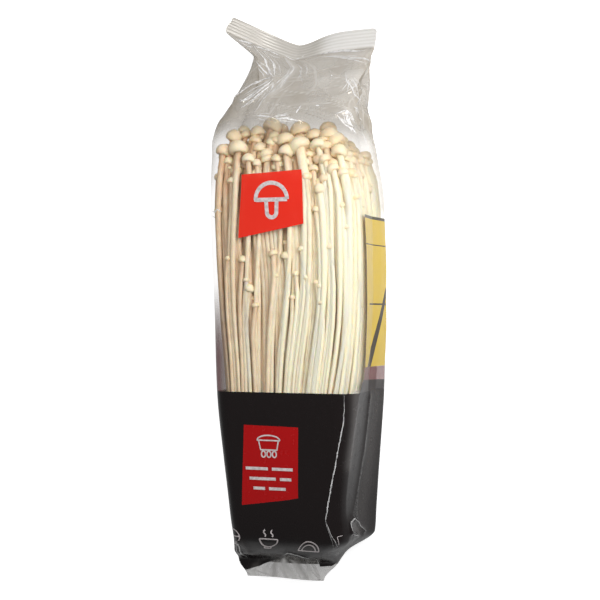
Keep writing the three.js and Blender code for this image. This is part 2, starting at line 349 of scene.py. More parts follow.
    def settle(self, places: np.ndarray) -> np.ndarray:
        """Moves tidy places to where the bag lies: leaning front edge, bent top seal, wavy bottom seal.

        Args:
            places: tidy places in millimetres, one in each row.

        Returns:
            The moved places.
        """
        x, y, z = places.T
        s = self.section(y)
        centre, middle = (s["left"] + s["right"]) / 2, (s["back"] + s["front"]) / 2
        front_share = np.clip((z - middle) / (s["front"] - middle), 0, 1)
        right_share = np.clip((x - centre) / (s["right"] - centre), 0, 1)
        bent = rise(y, self.bend_from_y, self.bend_full_y - self.bend_from_y)
        side = (x - self.seal_dip_x) / self.seal_ear_reach
        dip = np.exp(-(((x - self.seal_dip_x) / self.seal_dip_width) ** 2))
        left_rise = self.seal_left_rise * np.abs(side) ** self.seal_left_bend
        risen = np.where(side < 0, left_rise, self.seal_right_rise * (1 - dip))
        lift = np.where(side < 0, self.seal_left_lift, self.seal_right_lift) * side**2
        wave = smooth((self.bottom_wave_from_y - y) / self.bottom_wave_span) * self.bottom_wave
        phase = x / self.bottom_wave_pitch
        curl = dip * np.maximum(0, (y - self.seal_curl_from_y) / self.seal_curl_span)
        return np.stack([
            x - s["lean"] * front_share * right_share,
            y + risen * bent - self.seal_curl[0] * curl - self.bottom_wave_up * wave * np.cos(phase + 1),
            z + lift * bent - self.seal_curl[1] * curl + wave * np.sin(phase),
        ], axis=1)


# Meshes


def placed(name: str, data: object) -> Object:
    """Adds an object to the scene.

    Args:
        name: its name.
        data: its mesh, camera or light.

    Returns:
        The object.
    """
    thing = bpy.data.objects.new(name, data)
    bpy.context.collection.objects.link(thing)
    return thing


def grid_mesh(name: str, places: np.ndarray, rows: int, columns: int, uvs: np.ndarray) -> Object:
    """Makes a tube of quads whose columns run right round, facing outwards.

    Args:
        name: the object's name.
        places: rows times columns places in millimetres, row by row upwards.
        rows: how many rows.
        columns: how many columns. The last one joins the first.
        uvs: the map's place for each vertex, rows by columns + 1 by 2.

    Returns:
        The new object, linked to the scene.
    """
    row, column = np.meshgrid(np.arange(rows - 1), np.arange(columns), indexing="ij")
    row, column = row.ravel(), column.ravel()
    after = (column + 1) % columns
    faces = np.stack([
        row * columns + column, (row + 1) * columns + column,
        (row + 1) * columns + after, row * columns + after,
    ], axis=1)
    mesh = bpy.data.meshes.new(name)
    mesh.from_pydata((places * MM).tolist(), [], faces.tolist())
    corners = np.stack([
        uvs[row, column], uvs[row + 1, column], uvs[row + 1, column + 1], uvs[row, column + 1],
    ], axis=1)
    layer = mesh.uv_layers.new(name="film_map")
    layer.data.foreach_set("uv", corners.reshape(-1).astype(np.float32))
    mesh.polygons.foreach_set("use_smooth", [True] * len(mesh.polygons))
    mesh.update()
    return placed(name, mesh)


def set_values(mesh: Mesh, name: str, values: np.ndarray) -> None:
    """Gives each vertex of a mesh a named value.

    Args:
        mesh: the mesh.
        name: the attribute's name.
        values: one number or one vector for each vertex.
    """
    kind, key = ("FLOAT_VECTOR", "vector") if values.ndim > 1 else ("FLOAT", "value")
    attribute = mesh.attributes.new(name, kind, "POINT")
    attribute.data.foreach_set(key, values.astype(np.float32).ravel())


def dress(piece: Object, slot: Slot, *nodes: str) -> None:
    """Puts a finished piece on its body, for the CAD nodes that it stands for.

    Args:
        piece: the piece.
        slot: the material slot meant for it; not used.
        nodes: the CAD nodes that it replaces.
    """
    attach(piece, BODY)
    if nodes:
        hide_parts(*nodes)
    piece.data.calc_loop_triangles()
    log.info("%s: %d triangles", piece.name, len(piece.data.loop_triangles))


# Node trees


@dataclass
class Nodes:
    """Short calls that add nodes to a tree and return their sockets."""

    tree: Tree

    def add(self, kind: str, **settings: object) -> Node:
        """Adds a node.

        Args:
            kind: the node's type name.
            settings: its properties.

        Returns:
            The node.
        """
        node = self.tree.nodes.new(kind)
        for key, value in settings.items():
            setattr(node, key, value)
        return node

    def feed(self, socket: Socket, value: object) -> None:
        """Links a socket to another one, or sets its value."""
        if isinstance(value, Socket):
            self.tree.links.new(value, socket)
        else:
            socket.default_value = value

    def fill(self, node: Node, values: dict[object, object]) -> None:
        """Feeds some of a node's inputs, each by its name or its place."""
        for key, value in values.items():
            self.feed(node.inputs[key], value)

    def result(self, kind: str, values: dict[object, object], out: object = 0, **settings: object) -> Socket:
        """Adds a node, feeds it and takes one of its outputs.

        Args:
            kind: the node's type name.
            values: its inputs, each by its name or its place.
            out: the output's name or place.
            settings: the node's properties.

        Returns:
            The output.
        """
        node = self.add(kind, **settings)
        self.fill(node, values)
        return node.outputs[out]

    def math(self, operation: str, a: object, b: object = 0.0, clamp: bool = False) -> Socket:
        """Adds a Math node and returns its result."""
        return self.result("ShaderNodeMath", {0: a, 1: b}, operation=operation, use_clamp=clamp)

    def vector(self, operation: str, a: object, b: object) -> Socket:
        """Adds a Vector Math node and returns its vector."""
        return self.result("ShaderNodeVectorMath", {0: a, 1: b}, operation=operation)

    def ramp(
        self, value: object, low: float, high: float, to_low: float = 0.0, to_high: float = 1.0,
    ) -> Socket:
        """Adds a clamped Map Range node and returns its result."""
        values = dict(enumerate((value, low, high, to_low, to_high)))
        return self.result("ShaderNodeMapRange", values, clamp=True, interpolation_type="SMOOTHSTEP")

    def mix(self, share: object, a: object, b: object) -> Socket:
        """Adds a colour Mix node and returns its result."""
        return self.result("ShaderNodeMix", {0: share, 6: a, 7: b}, 2, data_type="RGBA")

    def noise(self, vector: object, scale: object, detail: float = 2.0, rough: float = 0.5) -> Socket:
        """Adds a Noise Texture node and returns its value."""
        values = {"Vector": vector, "Scale": scale, "Detail": detail, "Roughness": rough}
        return self.result("ShaderNodeTexNoise", values, "Fac")

    def bump(self, height: Socket, strength: float, reach: float) -> Socket:
        """Adds a Bump node and returns its normal."""
        values = {"Strength": strength, "Distance": reach, "Height": height}
        return self.result("ShaderNodeBump", values, "Normal")

    def read(self, name: str) -> Socket:
        """Reads a value that each vertex carries."""
        return self.add("ShaderNodeAttribute", attribute_name=name).outputs["Fac"]

    def named(self, name: str, kind: str) -> Socket:
        """Reads a named value of a mesh in Geometry Nodes."""
        return self.result("GeometryNodeInputNamedAttribute", {"Name": name}, "Attribute", data_type=kind)

    def group(self, tree: Tree, **values: object) -> Node:
        """Places a node group and feeds its inputs.

        Args:
            tree: the group.
            values: its inputs by name, with an underscore for each space.

        Returns:
            The group's node.
        """
        node = self.add("ShaderNodeGroup", node_tree=tree)
        self.fill(node, {key.replace("_", " "): value for key, value in values.items()})
        return node


def new_group(
    name: str, inputs: dict[str, str], outputs: dict[str, str], kind: str = "ShaderNodeTree",
) -> tuple[Nodes, Node, Node]:
    """Starts a node group with named sockets.

    Args:
        name: the group's name.
        inputs: each input's type by name, such as Float.
        outputs: each output's type by name.
        kind: the group's own type name.

    Returns:
        The group's nodes, its input node and its output node.
    """
    tree = bpy.data.node_groups.new(name, kind)
    for side, sockets in (("INPUT", inputs), ("OUTPUT", outputs)):
        for key, value in sockets.items():
            tree.interface.new_socket(key, in_out=side, socket_type=f"NodeSocket{value}")
    nodes = Nodes(tree)
    return nodes, nodes.add("NodeGroupInput"), nodes.add("NodeGroupOutput")


def object_place(nodes: Nodes) -> Socket:
    """Returns the Object coordinates of a material."""
    return nodes.add("ShaderNodeTexCoord").outputs["Object"]


def film_place(nodes: Nodes) -> Socket:
    """Reads the place on the film from its map.

    Args:
        nodes: the material's nodes.

    Returns:
        The place, in millimetres round and up the bag.
    """
    mapped = nodes.result("ShaderNodeUVMap", {}, uv_map="film_map")
    centred = nodes.vector("SUBTRACT", mapped, (0.5, 0.5, 0.0))
    return nodes.vector("MULTIPLY", centred, (FILM_MAP_SPAN, FILM_MAP_SPAN, 0.0))


def new_material(name: str) -> tuple[Material, Nodes, Node]:
    """Starts a material with an empty Principled shader.

    Args:
        name: the material's name.

    Returns:
        The material, its nodes and its Principled node.
    """
    material = bpy.data.materials.new(name)
    material.use_nodes = True
    nodes = Nodes(material.node_tree)
    shader = next(n for n in material.node_tree.nodes if n.type == "BSDF_PRINCIPLED")
    return material, nodes, shader


# Finishes


@dataclass
class SharedEffects:
    """Node groups that more than one finish uses. Each is built once."""

    streak_scale: float = 900.0
    streak_squash: float = 0.12
    spot_scale: float = 260.0
    spot_share: float = 0.7
    bend_scale: float = 90.0
    bend_reach: float = 0.009
    facet_scale: float = 150.0
    facet_edge: float = 0.22
    facet_share: float = 0.6
    buckle_scale: float = 150.0
    buckle_squash: float = 0.35
    buckle_share: float = 0.7
    scuff_scale: float = 420.0
    patch_edge: float = 0.05

    def __post_init__(self) -> None:
        """Builds the groups."""
        self.mottle = self.build_mottle()
        self.wrinkles = self.build_wrinkles()
        self.patch = self.build_patch()

    def build_mottle(self) -> Tree:
        """Builds the uneven tone of mushroom flesh: a colour between two, and a fine relief.

        Returns:
            The group.
        """
        nodes, inside, out = new_group(
            "flesh_mottle",
            {"Place": "Vector", "Pale": "Color", "Warm": "Color", "Tone": "Float", "Streak": "Float"},
            {"Color": "Color", "Relief": "Float"},
        )
        given = inside.outputs
        stretched = nodes.vector("MULTIPLY", given["Place"], (1.0, self.streak_squash, 1.0))
        streaks = nodes.noise(stretched, self.streak_scale, 3.0, 0.6)
        spots = nodes.noise(given["Place"], self.spot_scale, 3.0, 0.6)
        blend = nodes.math("MULTIPLY", nodes.math("SUBTRACT", streaks, 0.5), given["Streak"])
        blotch = nodes.math("MULTIPLY", nodes.math("SUBTRACT", spots, 0.5), self.spot_share)
        tone = nodes.math("ADD", nodes.math("ADD", given["Tone"], blend), blotch, clamp=True)
        nodes.fill(out, {"Color": nodes.mix(tone, given["Pale"], given["Warm"]), "Relief": streaks})
        return nodes.tree

    def build_wrinkles(self) -> Tree:
        """Builds the fine wrinkles of thin film: sharp small facets and softer buckles.

        Returns:
            The group.
        """
        nodes, inside, out = new_group(
            "film_wrinkles", {"Place": "Vector", "Crush": "Float"}, {"Height": "Float", "Scuff": "Float"},
        )
        place = inside.outputs["Place"]
        bend = nodes.result("ShaderNodeTexNoise", {"Vector": place, "Scale": self.bend_scale}, "Color")
        pushed = nodes.vector("ADD", place, nodes.vector("MULTIPLY", bend, (self.bend_reach,) * 3))
        facets = {"Vector": pushed, "Scale": self.facet_scale}
        edge = nodes.result("ShaderNodeTexVoronoi", facets, "Distance", feature="DISTANCE_TO_EDGE")
        ridge = nodes.ramp(edge, 0.0, self.facet_edge, 1.0, 0.0)
        squashed = nodes.vector("MULTIPLY", place, (1.0, self.buckle_squash, 1.0))
        buckles = nodes.math("MULTIPLY", nodes.noise(squashed, self.buckle_scale), self.buckle_share)
        crushed = nodes.math("MULTIPLY", ridge, inside.outputs["Crush"])
        height = nodes.math("ADD", nodes.math("MULTIPLY", crushed, self.facet_share), buckles)
        nodes.fill(out, {"Height": height, "Scuff": nodes.noise(place, self.scuff_scale, 4.0, 0.65)})
        return nodes.tree

    def build_patch(self) -> Tree:
        """Builds the mask of a printed four-sided patch.

        Returns:
            The group. Each edge comes as the line a * round + b * up + c, above zero inside the patch.
        """
        sides = ("Edge 1", "Edge 2", "Edge 3", "Edge 4")
        nodes, inside, out = new_group(
            "printed_patch", {"Film": "Vector", **dict.fromkeys(sides, "Vector")}, {"Mask": "Float"},
        )
        film = nodes.vector("ADD", inside.outputs["Film"], (0.0, 0.0, 1.0))
        nearest = FAR
        for side in sides:
            both = {0: film, 1: inside.outputs[side]}
            dot = nodes.result("ShaderNodeVectorMath", both, "Value", operation="DOT_PRODUCT")
            nearest = nodes.math("MINIMUM", nearest, dot)
        nodes.fill(out, {"Mask": nodes.ramp(nearest, -self.patch_edge, self.patch_edge)})
        return nodes.tree


@dataclass(frozen=True)
class FleshFinish:
    """Moist mushroom flesh, cream on the caps and paler on the stems."""

    name: str
    pale: Colour
    warm: Colour
    streak: float
    roughness: float
    relief: float
    relief_reach: float = 0.0002
    glow: float = 0.3
    glow_tint: tuple[float, float, float] = (1.0, 0.55, 0.25)
    glow_reach: float = 0.0012
    gloss: float = 0.4

    def material(self, effects: SharedEffects) -> Material:
        """Builds the material.

        Args:
            effects: the shared node groups.

        Returns:
            The material.
        """
        material, nodes, shader = new_material(self.name)
        # The tone mixes pale and warm: random differences plus painted shade, set on the mesh.
        mottle = nodes.group(effects.mottle, Place=object_place(nodes), Pale=self.pale, Warm=self.warm,
                             Tone=nodes.read("tone"), Streak=self.streak)
        nodes.fill(shader, {
            "Base Color": mottle.outputs["Color"],
            "Roughness": self.roughness,
            "Subsurface Weight": self.glow,
            "Subsurface Radius": self.glow_tint,
            "Subsurface Scale": self.glow_reach,
            "Specular IOR Level": self.gloss,
            "Normal": nodes.bump(mottle.outputs["Relief"], self.relief, self.relief_reach),
        })
        return material


@dataclass(frozen=True)
class Patch:
    """A printed patch on the film: its corners clockwise from the top left, in millimetres round and up."""

    corners: tuple[tuple[float, float], tuple[float, float], tuple[float, float], tuple[float, float]]

    def mask(self, nodes: Nodes, effects: SharedEffects, film: Socket) -> Socket:
        """Places the patch group for this print.

        Args:
            nodes: the material's nodes.
            effects: the shared node groups.
            film: the place on the film.

        Returns:
            The mask.
        """
        edges = {}
        for k, (start, end) in enumerate(zip(self.corners, self.corners[1:] + self.corners[:1]), 1):
            across = Vector((end[1] - start[1], start[0] - end[0])).normalized()
            edges[f"Edge_{k}"] = (across.x, across.y, -across.dot(start))
        return nodes.group(effects.patch, Film=film, **edges).outputs["Mask"]


def box(left: float, right: float, bottom: float, top: float) -> Patch:
    """Returns an upright patch."""
    return Patch(((left, top), (right, top), (right, bottom), (left, bottom)))


@dataclass(frozen=True)
class FilmFinish:
    """What all finishes of the film share: gloss with fine wrinkles."""

    name: str
    ior: float
    dull: tuple[float, float]
    relief: float
    relief_reach: float = 0.0006
    scuffs: tuple[float, float] = (0.3, 0.75)

    def start(self, effects: SharedEffects) -> tuple[Material, Nodes, Node]:
        """Starts a material of wrinkled film.

        Args:
            effects: the shared node groups.

        Returns:
            The material, its nodes and its Principled node.
        """
        material, nodes, shader = new_material(self.name)
        wrinkles = nodes.group(effects.wrinkles, Place=object_place(nodes), Crush=nodes.read("crush"))
        nodes.fill(shader, {
            "Roughness": nodes.ramp(wrinkles.outputs["Scuff"], *self.scuffs, *self.dull),
            "IOR": self.ior,
            "Normal": nodes.bump(wrinkles.outputs["Height"], self.relief, self.relief_reach),
        })
        return material, nodes, shader


@dataclass(frozen=True)
class ClearFilmFinish(FilmFinish):
    """Clear glossy film, hazy where it is crushed, with its coloured prints, painted highlights and painted
    shade.
    """

    name: str = "clear_film_creased"
    ior: float = 1.42
    dull: tuple[float, float] = (0.08, 0.2)
    relief: float = 0.35
    bare_metallic: float = 0.22
    crease_cover: float = 0.55
    edge_blend: float = 0.35
    edge_cover: float = 0.12
    ink_share: float = 0.97
    ink_cover: float = 0.97
    red_cover: float = 0.96
    mauve_cover: float = 0.84
    haze: Colour = (0.45, 0.40, 0.325, 1.0)
    # The colour of the painted highlights on creases and bright soft zones.
    crease: Colour = (0.95, 0.93, 0.90, 1.0)
    red: Colour = (0.86, 0.018, 0.004, 1.0)
    gold: Colour = (0.72, 0.50, 0.05, 1.0)
    mauve: Colour = (0.21, 0.08, 0.09, 1.0)
    ink: Colour = (0.012, 0.009, 0.009, 1.0)
    red_patch: Patch = Patch(((-14.4, 46.2), (9.2, 47.3), (9.2, 27.5), (-16.6, 22.7)))
    gold_panel: Patch = Patch(((34.8, 31.0), (63.0, 31.0), (63.0, -24.9), (38.3, -24.9)))
    gold_lines_and_fold_shadow: tuple[Patch, ...] = (
        box(34.8, 63.0, 29.9, 31.0), Patch(((34.8, 31.0), (35.1, 31.0), (38.6, -24.9), (38.3, -24.9))),
        box(35.6, 63.0, 20.2, 20.6), box(41.0, 63.0, -1.9, -1.3),
        # The last is no print but a painted shadow along the panel's diagonal fold, in the ink colour.
        Patch(((59.4, 4.5), (61.6, 4.5), (47.2, -24.9), (42.4, -24.9))),
    )
    mauve_right: Patch = box(38.3, 63.0, -34.5, -24.9)
    black_right: Patch = Patch(((37.0, -29.4), (63.0, -30.2), (63.0, -37.0), (30.0, -37.0)))
    mauve_left: Patch = box(-62.0, -19.0, -34.5, 14.0)
    fade_up: tuple[float, float] = (-24.0, 14.0)
    fade_across: tuple[float, float] = (-27.0, -20.0)

    def material(self, effects: SharedEffects) -> Material:
        """Builds the material.

        Args:
            effects: the shared node groups.

        Returns:
            The material.
        """
        material, nodes, shader = self.start(effects)
        film = film_place(nodes)
        crease = nodes.read("crease")
        # The gold panel's printed lines and its painted fold shadow share one mask.
        line = 0.0
        for patch in self.gold_lines_and_fold_shadow:
            line = nodes.math("MAXIMUM", line, patch.mask(nodes, effects, film))
        patches = (self.red_patch, self.gold_panel, self.mauve_right, self.mauve_left, self.black_right)
        red, gold, right, left, black = (patch.mask(nodes, effects, film) for patch in patches)
        mauve = nodes.math("MAXIMUM", right, self.faded(nodes, film, left))
        facing = nodes.result("ShaderNodeLayerWeight", {"Blend": self.edge_blend}, "Facing")
        # The haze carries painted shade in places; the crease value paints white highlights.
        alpha = nodes.read("haze")
        for value, cover in ((crease, self.crease_cover), (facing, self.edge_cover)):
            alpha = nodes.math("ADD", alpha, nodes.math("MULTIPLY", value, cover), clamp=True)
        colour = nodes.mix(nodes.math("MULTIPLY", crease, 1.0, clamp=True), self.haze, self.crease)
        prints = ((mauve, self.mauve, self.mauve_cover), (gold, self.gold, self.ink_cover),
                  (line, self.ink, self.ink_cover), (black, self.ink, self.ink_cover),
                  (red, self.red, self.red_cover))
        for mask, tint, cover in prints:
            colour = nodes.mix(nodes.math("MULTIPLY", mask, self.ink_share), colour, tint)
            alpha = nodes.math("MAXIMUM", alpha, nodes.math("MULTIPLY", mask, cover))
        printed = red
        for mask in (gold, mauve, black):
            printed = nodes.math("MAXIMUM", printed, mask)
        bare = nodes.math("SUBTRACT", 1.0, printed)
        metallic = nodes.math("MULTIPLY", bare, self.bare_metallic)
        nodes.fill(shader, {"Base Color": colour, "Alpha": alpha, "Metallic": metallic})
        return material

    def faded(self, nodes: Nodes, film: Socket, mask: Socket) -> Socket:
        """Fades a print out upwards and towards the front.

        Args:
            nodes: the material's nodes.
            film: the place on the film.
            mask: the print's mask.

        Returns:
            The faded mask.
        """
        split = nodes.add("ShaderNodeSeparateXYZ")
        nodes.feed(split.inputs[0], film)
        up = nodes.ramp(split.outputs[1], *self.fade_up, 1.0, 0.0)
        across = nodes.ramp(split.outputs[0], *self.fade_across, 1.0, 0.0)
        return nodes.math("MULTIPLY", mask, nodes.math("MULTIPLY", up, across))


@dataclass(frozen=True)
class BlackFilmFinish(FilmFinish):
    """The same film printed black, with one red label and painted grey reflections along its creases."""

    name: str = "black_film_gloss"
    ior: float = 1.36
    dull: tuple[float, float] = (0.17, 0.3)
    relief: float = 0.2
    crease_share: float = 0.3
    black: Colour = (0.009, 0.006, 0.006, 1.0)
    # Painted grey reflection, mixed in along creases and bright soft zones.
    painted_sheen: Colour = (0.30, 0.28, 0.27, 1.0)
    red: Colour = (0.42, 0.003, 0.004, 1.0)
    label: Patch = Patch(((-15.6, -46.1), (6.4, -46.5), (6.0, -72.5), (-17.6, -76.1)))

    def material(self, effects: SharedEffects) -> Material:
        """Builds the material.

        Args:
            effects: the shared node groups.

        Returns:
            The material.
        """
        material, nodes, shader = self.start(effects)
        label = self.label.mask(nodes, effects, film_place(nodes))
        # The crease value paints grey reflections onto the black.
        crease = nodes.math("MULTIPLY", nodes.read("crease"), self.crease_share)
        colour = nodes.mix(crease, self.black, self.painted_sheen)
        nodes.fill(shader, {"Base Color": nodes.mix(label, colour, self.red)})
        return material


@dataclass(frozen=True)
class SealFilmFinish(FilmFinish):
    """The unprinted film of the bottom seal, crushed and milky, with painted highlights on its creases."""

    name: str = "seal_film_crushed"
    ior: float = 1.5
    dull: tuple[float, float] = (0.08, 0.2)
    relief: float = 0.5
    metallic: float = 0.15
    crease_cover: float = 0.6
    colour: Colour = (0.38, 0.36, 0.34, 1.0)
    # The colour of the painted highlights.
    crease: Colour = (1.0, 0.99, 0.97, 1.0)

    def material(self, effects: SharedEffects) -> Material:
        """Builds the material.

        Args:
            effects: the shared node groups.

        Returns:
            The material.
        """
        material, nodes, shader = self.start(effects)
        crease = nodes.read("crease")
        cover = nodes.math("MULTIPLY", crease, self.crease_cover)
        nodes.fill(shader, {
            "Base Color": nodes.mix(crease, self.colour, self.crease),
            "Alpha": nodes.math("ADD", nodes.read("haze"), cover, clamp=True),
            "Metallic": self.metallic,
        })
        return material


@dataclass(frozen=True)
class InkFinish:
    """Pale printing ink, slightly uneven."""

    name: str = "pale_ink"
    roughness: float = 0.3
    spot_scale: float = 900.0
    colour: Colour = (0.72, 0.66, 0.66, 1.0)
    thin: Colour = (0.52, 0.46, 0.46, 1.0)

    def material(self) -> Material:
        """Builds the material.

        Returns:
            The material.
        """
        material, nodes, shader = new_material(self.name)
        spots = nodes.ramp(nodes.noise(object_place(nodes), self.spot_scale, 3.0, 0.6), 0.35, 0.7)
        colour = nodes.mix(spots, self.colour, self.thin)
        nodes.fill(shader, {"Base Color": colour, "Roughness": self.roughness})
        return material


@dataclass(frozen=True)
class CreaseGlintFinish:
    """Painted highlights along sharp creases: white glints on the film, broken up and more or less clear."""

    name: str = "film_crease_glint"
    roughness: float = 0.25
    break_scale: float = 700.0
    least_cover: float = 0.4
    colour: Colour = (0.96, 0.95, 0.95, 1.0)
    painted_sheen: Colour = (0.80, 0.79, 0.80, 1.0)

    def material(self) -> Material:
        """Builds the material.

        Returns:
            The material.
        """
        material, nodes, shader = new_material(self.name)
        breaks = nodes.noise(object_place(nodes), self.break_scale, 3.0, 0.6)
        broken = nodes.ramp(breaks, 0.28, 0.52, self.least_cover, 1.0)
        nodes.fill(shader, {
            "Base Color": nodes.mix(broken, self.painted_sheen, self.colour),
            "Alpha": nodes.math("MULTIPLY", nodes.read("gleam"), broken),
            "Roughness": self.roughness,
        })
        return material


# The bag


@dataclass
class FilmBag:
    """The bag as one web of film in three colours: clear above, black below, clear at the bottom seal."""

    form: BagForm
    effects: SharedEffects
    column_step: float = 0.55
    print_edge_y: float = -34.0
    seal_y: float = -100.5
    bottom_y: float = -107.0
    neck_y: float = 58.0
    top_seal_y: float = 94.3
    top_y: float = 101.0
    rib_pitch: float = 1.25
    rib_height: float = 0.05
    ear_round: float = 1.8
    seal_thickness: float = 0.35
    pinch: float = 0.2
    table_gap: float = 0.04
    foot_fade: float = 12.0
    row_slack: float = 0.01
    # How crushed and how deeply folded the film is, by zone
    neck_crush: float = 0.35
    bottom_crush: float = 0.2
    seal_crush: float = 0.4
    body_crush: float = 0.05
    body_tuck: float = 0.02
    seal_groove: float = 0.3
    seal_calm: float = 2.0
    flat_span: float = 2.0
    ear_reach: float = 3.5
    bottom_folds: float = 0.55
    bottom_fine: float = 0.25
    body_slack: float = 0.5
    side_calm: float = 0.85
    # How hazy it is, by zone
    bare_haze: float = 0.02
    neck_haze: float = 0.46
    side_haze: float = 0.16
    seal_haze: float = 0.2
    bottom_haze: float = 0.42
    # Painted shade: hazier where the big neck folds stand out, clearer where they sink.
    fold_shade: float = 0.09
    fold_full: float = 1.2
    most_haze: float = 0.9
    panel_clear: float = 0.25
    panel_half: float = 60.0
    panel_edge: float = 0.6
    # How strong the painted highlights are: the top seal and its ribs at the left and what the right adds,
    # big and fine folds
    seal_highlight: tuple[float, float] = (0.40, 0.42)
    rib_highlight: tuple[float, float] = (0.3, 0.5)
    crease_highlight: tuple[float, float] = (0.3, 0.45)
    bottom_highlight: float = 1.4
    # Where each change starts along y, and how far it takes
    neck_in: tuple[float, float] = (56, 16)
    neck_out: tuple[float, float] = (88, 6)
    bottom_out: tuple[float, float] = (-100, 14)
    seal_in: tuple[float, float] = (93, 1.3)
    neck_haze_in: tuple[float, float] = (58, 12)
    side_haze_in: tuple[float, float] = (44, 12)
    panel_in: tuple[float, float] = (69, 2)
    panel_out: tuple[float, float] = (85, 2)
    # The same along x
    seal_bright_in: tuple[float, float] = (2, 9)
    neck_crumple: Crumple = Crumple(8, (12.0, 30.0), 1.7, 11)
    fine_crumple: Crumple = Crumple(5, (5.0, 11.0), 0.35, 23)
    body_crumple: Crumple = Crumple(6, (14.0, 40.0), 0.35, 5)
    creases: tuple[Stroke, ...] = (
        Stroke(((-11.2, 84.3), (-17.6, 81.1), (-23.2, 76.3)), 0.5, 1.0),
        Stroke(((-10.8, 83.5), (-13.6, 79.1), (-15.4, 75.9), (-18.4, 74.6), (-19.8, 75.4)), 0.45, 0.8),
        Stroke(((-13.0, 80.2), (-16.8, 76.6), (-19.0, 74.3)), 0.4),
        Stroke(((-10.4, 82.3), (-12.6, 78.3), (-14.4, 75.0), (-18.2, 71.9)), 0.4),
        Stroke(((-10.4, 82.7), (-9.4, 77.1), (-11.2, 70.3)), 0.3, 0.6, 0.7),
        Stroke(((-19.2, 93.4), (-17.6, 89.0), (-14.0, 85.6), (-11.2, 84.3)), 0.4, 0.7),
        Stroke(((-15.4, 93.4), (-14.6, 89.0), (-12.8, 86.5), (-11.2, 84.3)), 0.35, 0.5, 0.8),
        Stroke(((-21.0, 88.2), (-17.0, 85.8), (-13.4, 84.5)), 0.4, 0.5, 0.8),
        Stroke(((-22.8, 76.7), (-24.4, 72.3), (-25.4, 66.3), (-26.6, 61.9), (-28.2, 57.7)), 0.4, 0.6, 0.85),
        Stroke(((-19.2, 93.4), (-13.2, 93.8), (-7.6, 93.5)), 0.4, 0.3),
        Stroke(((-5.8, 93.4), (-7.4, 88.5), (-7.2, 82.7), (-8.8, 77.1)), 1.3, 0.9, 0.4, 1.6),
        Stroke(((-7.6, 94.5), (-3.6, 93.6), (-0.6, 94.6), (1.6, 96.5)), 0.4, 0.4),
        Stroke(((-3.6, 92.5), (-3.6, 88.2), (0.8, 81.9)), 0.3, -0.5, 0.5),
        Stroke(((17.2, 84.3), (19.6, 80.3), (24.8, 75.5), (34.0, 72.7)), 0.35, 0.8, 0.6),
        Stroke(((20.4, 81.5), (23.6, 79.0), (21.0, 75.9)), 0.3, 0.4, 0.6),
        Stroke(((21.6, 67.5), (24.0, 69.1), (26.8, 67.6), (30.0, 63.9)), 0.6, 0.9),
        Stroke(((24.0, 69.1), (28.6, 62.7)), 0.8, 0.7, 0.8),
        Stroke(((26.8, 71.1), (30.8, 69.5), (36.8, 66.4)), 0.8, 0.8, 0.8),
        Stroke(((22.0, 67.1), (25.6, 63.5), (32.0, 60.3)), 0.45, 0.5, 0.85),
        Stroke(((36.0, 67.0), (44.0, 62.0), (48.0, 58.0)), 0.4, 0.5, 0.7),
        Stroke(((-9.2, 68.3), (-3.2, 67.6)), 0.5, 0.4),
        Stroke(((-1.2, 66.3), (2.8, 66.7), (7.6, 65.8)), 0.55, 0.4),
        Stroke(((-2.0, 67.9), (3.2, 67.8)), 0.4, 0.3, 0.8),
        Stroke(((6.4, 71.9), (6.0, 68.7)), 0.5, 0.4),
        Stroke(((12.4, 71.6), (14.0, 71.2)), 0.6, 0.3),
        Stroke(((11.8, 83.4), (12.4, 82.9)), 0.6, 0.2),
        Stroke(((6.8, 94.2), (16.4, 93.3), (25.6, 92.3)), 0.7, 0.4, 0.8),
        Stroke(((7.6, 92.0), (15.6, 90.0), (27.0, 88.2)), 0.6, 0.5, 0.5),
        Stroke(((-26.0, 92.7), (-19.2, 94.0)), 0.6, 0.3, 0.8),
        Stroke(((27.5, 90.0), (27.8, 84.0), (28.5, 77.0), (30.0, 70.3)), 0.5, 0.4, 0.4),
        Stroke(((-27.6, 33.1), (-26.0, 32.6), (-24.6, 33.6), (-22.8, 32.7)), 0.5, 0.3),
        Stroke(((-27.4, 31.2), (-25.4, 30.4)), 0.4, 0.3, 0.7),
        Stroke(((24.8, -34.6), (25.2, -44.1), (22.8, -61.7), (19.6, -79.7), (21.2, -91.3)),
               0.36, 0.6, 0.6, 0.8),
        Stroke(((19.6, -79.7), (20.4, -84.5), (22.8, -91.3)), 0.3, 0.3, 0.35, 0.8),
        Stroke(((29.2, -85.5), (29.6, -81.6), (32.4, -80.5), (38.0, -82.4), (43.0, -86.9)), 0.36, 1.3, 0.35),
        Stroke(((29.2, -85.5), (32.8, -87.2), (39.0, -88.3)), 0.3, 0.9, 0.3),
        Stroke(((-20.6, -90.5), (-17.6, -93.0), (-14.8, -99.0)), 0.4, 0.8, 0.75),
        Stroke(((-20.2, -90.3), (-18.4, -95.0), (-15.2, -99.4)), 0.3, 0.3, 0.6),
        Stroke(((0.8, -96.2), (2.8, -94.6), (6.8, -95.4), (12.6, -97.0)), 0.34, 0.8, 0.6),
        Stroke(((14.8, -96.9), (13.2, -101.3)), 0.3, 0.6, 0.5),
        Stroke(((46.8, -36.0), (44.4, -56.1), (37.6, -74.1), (32.4, -80.9)), 0.2, 1.0, 0.15, 2.2),
    )
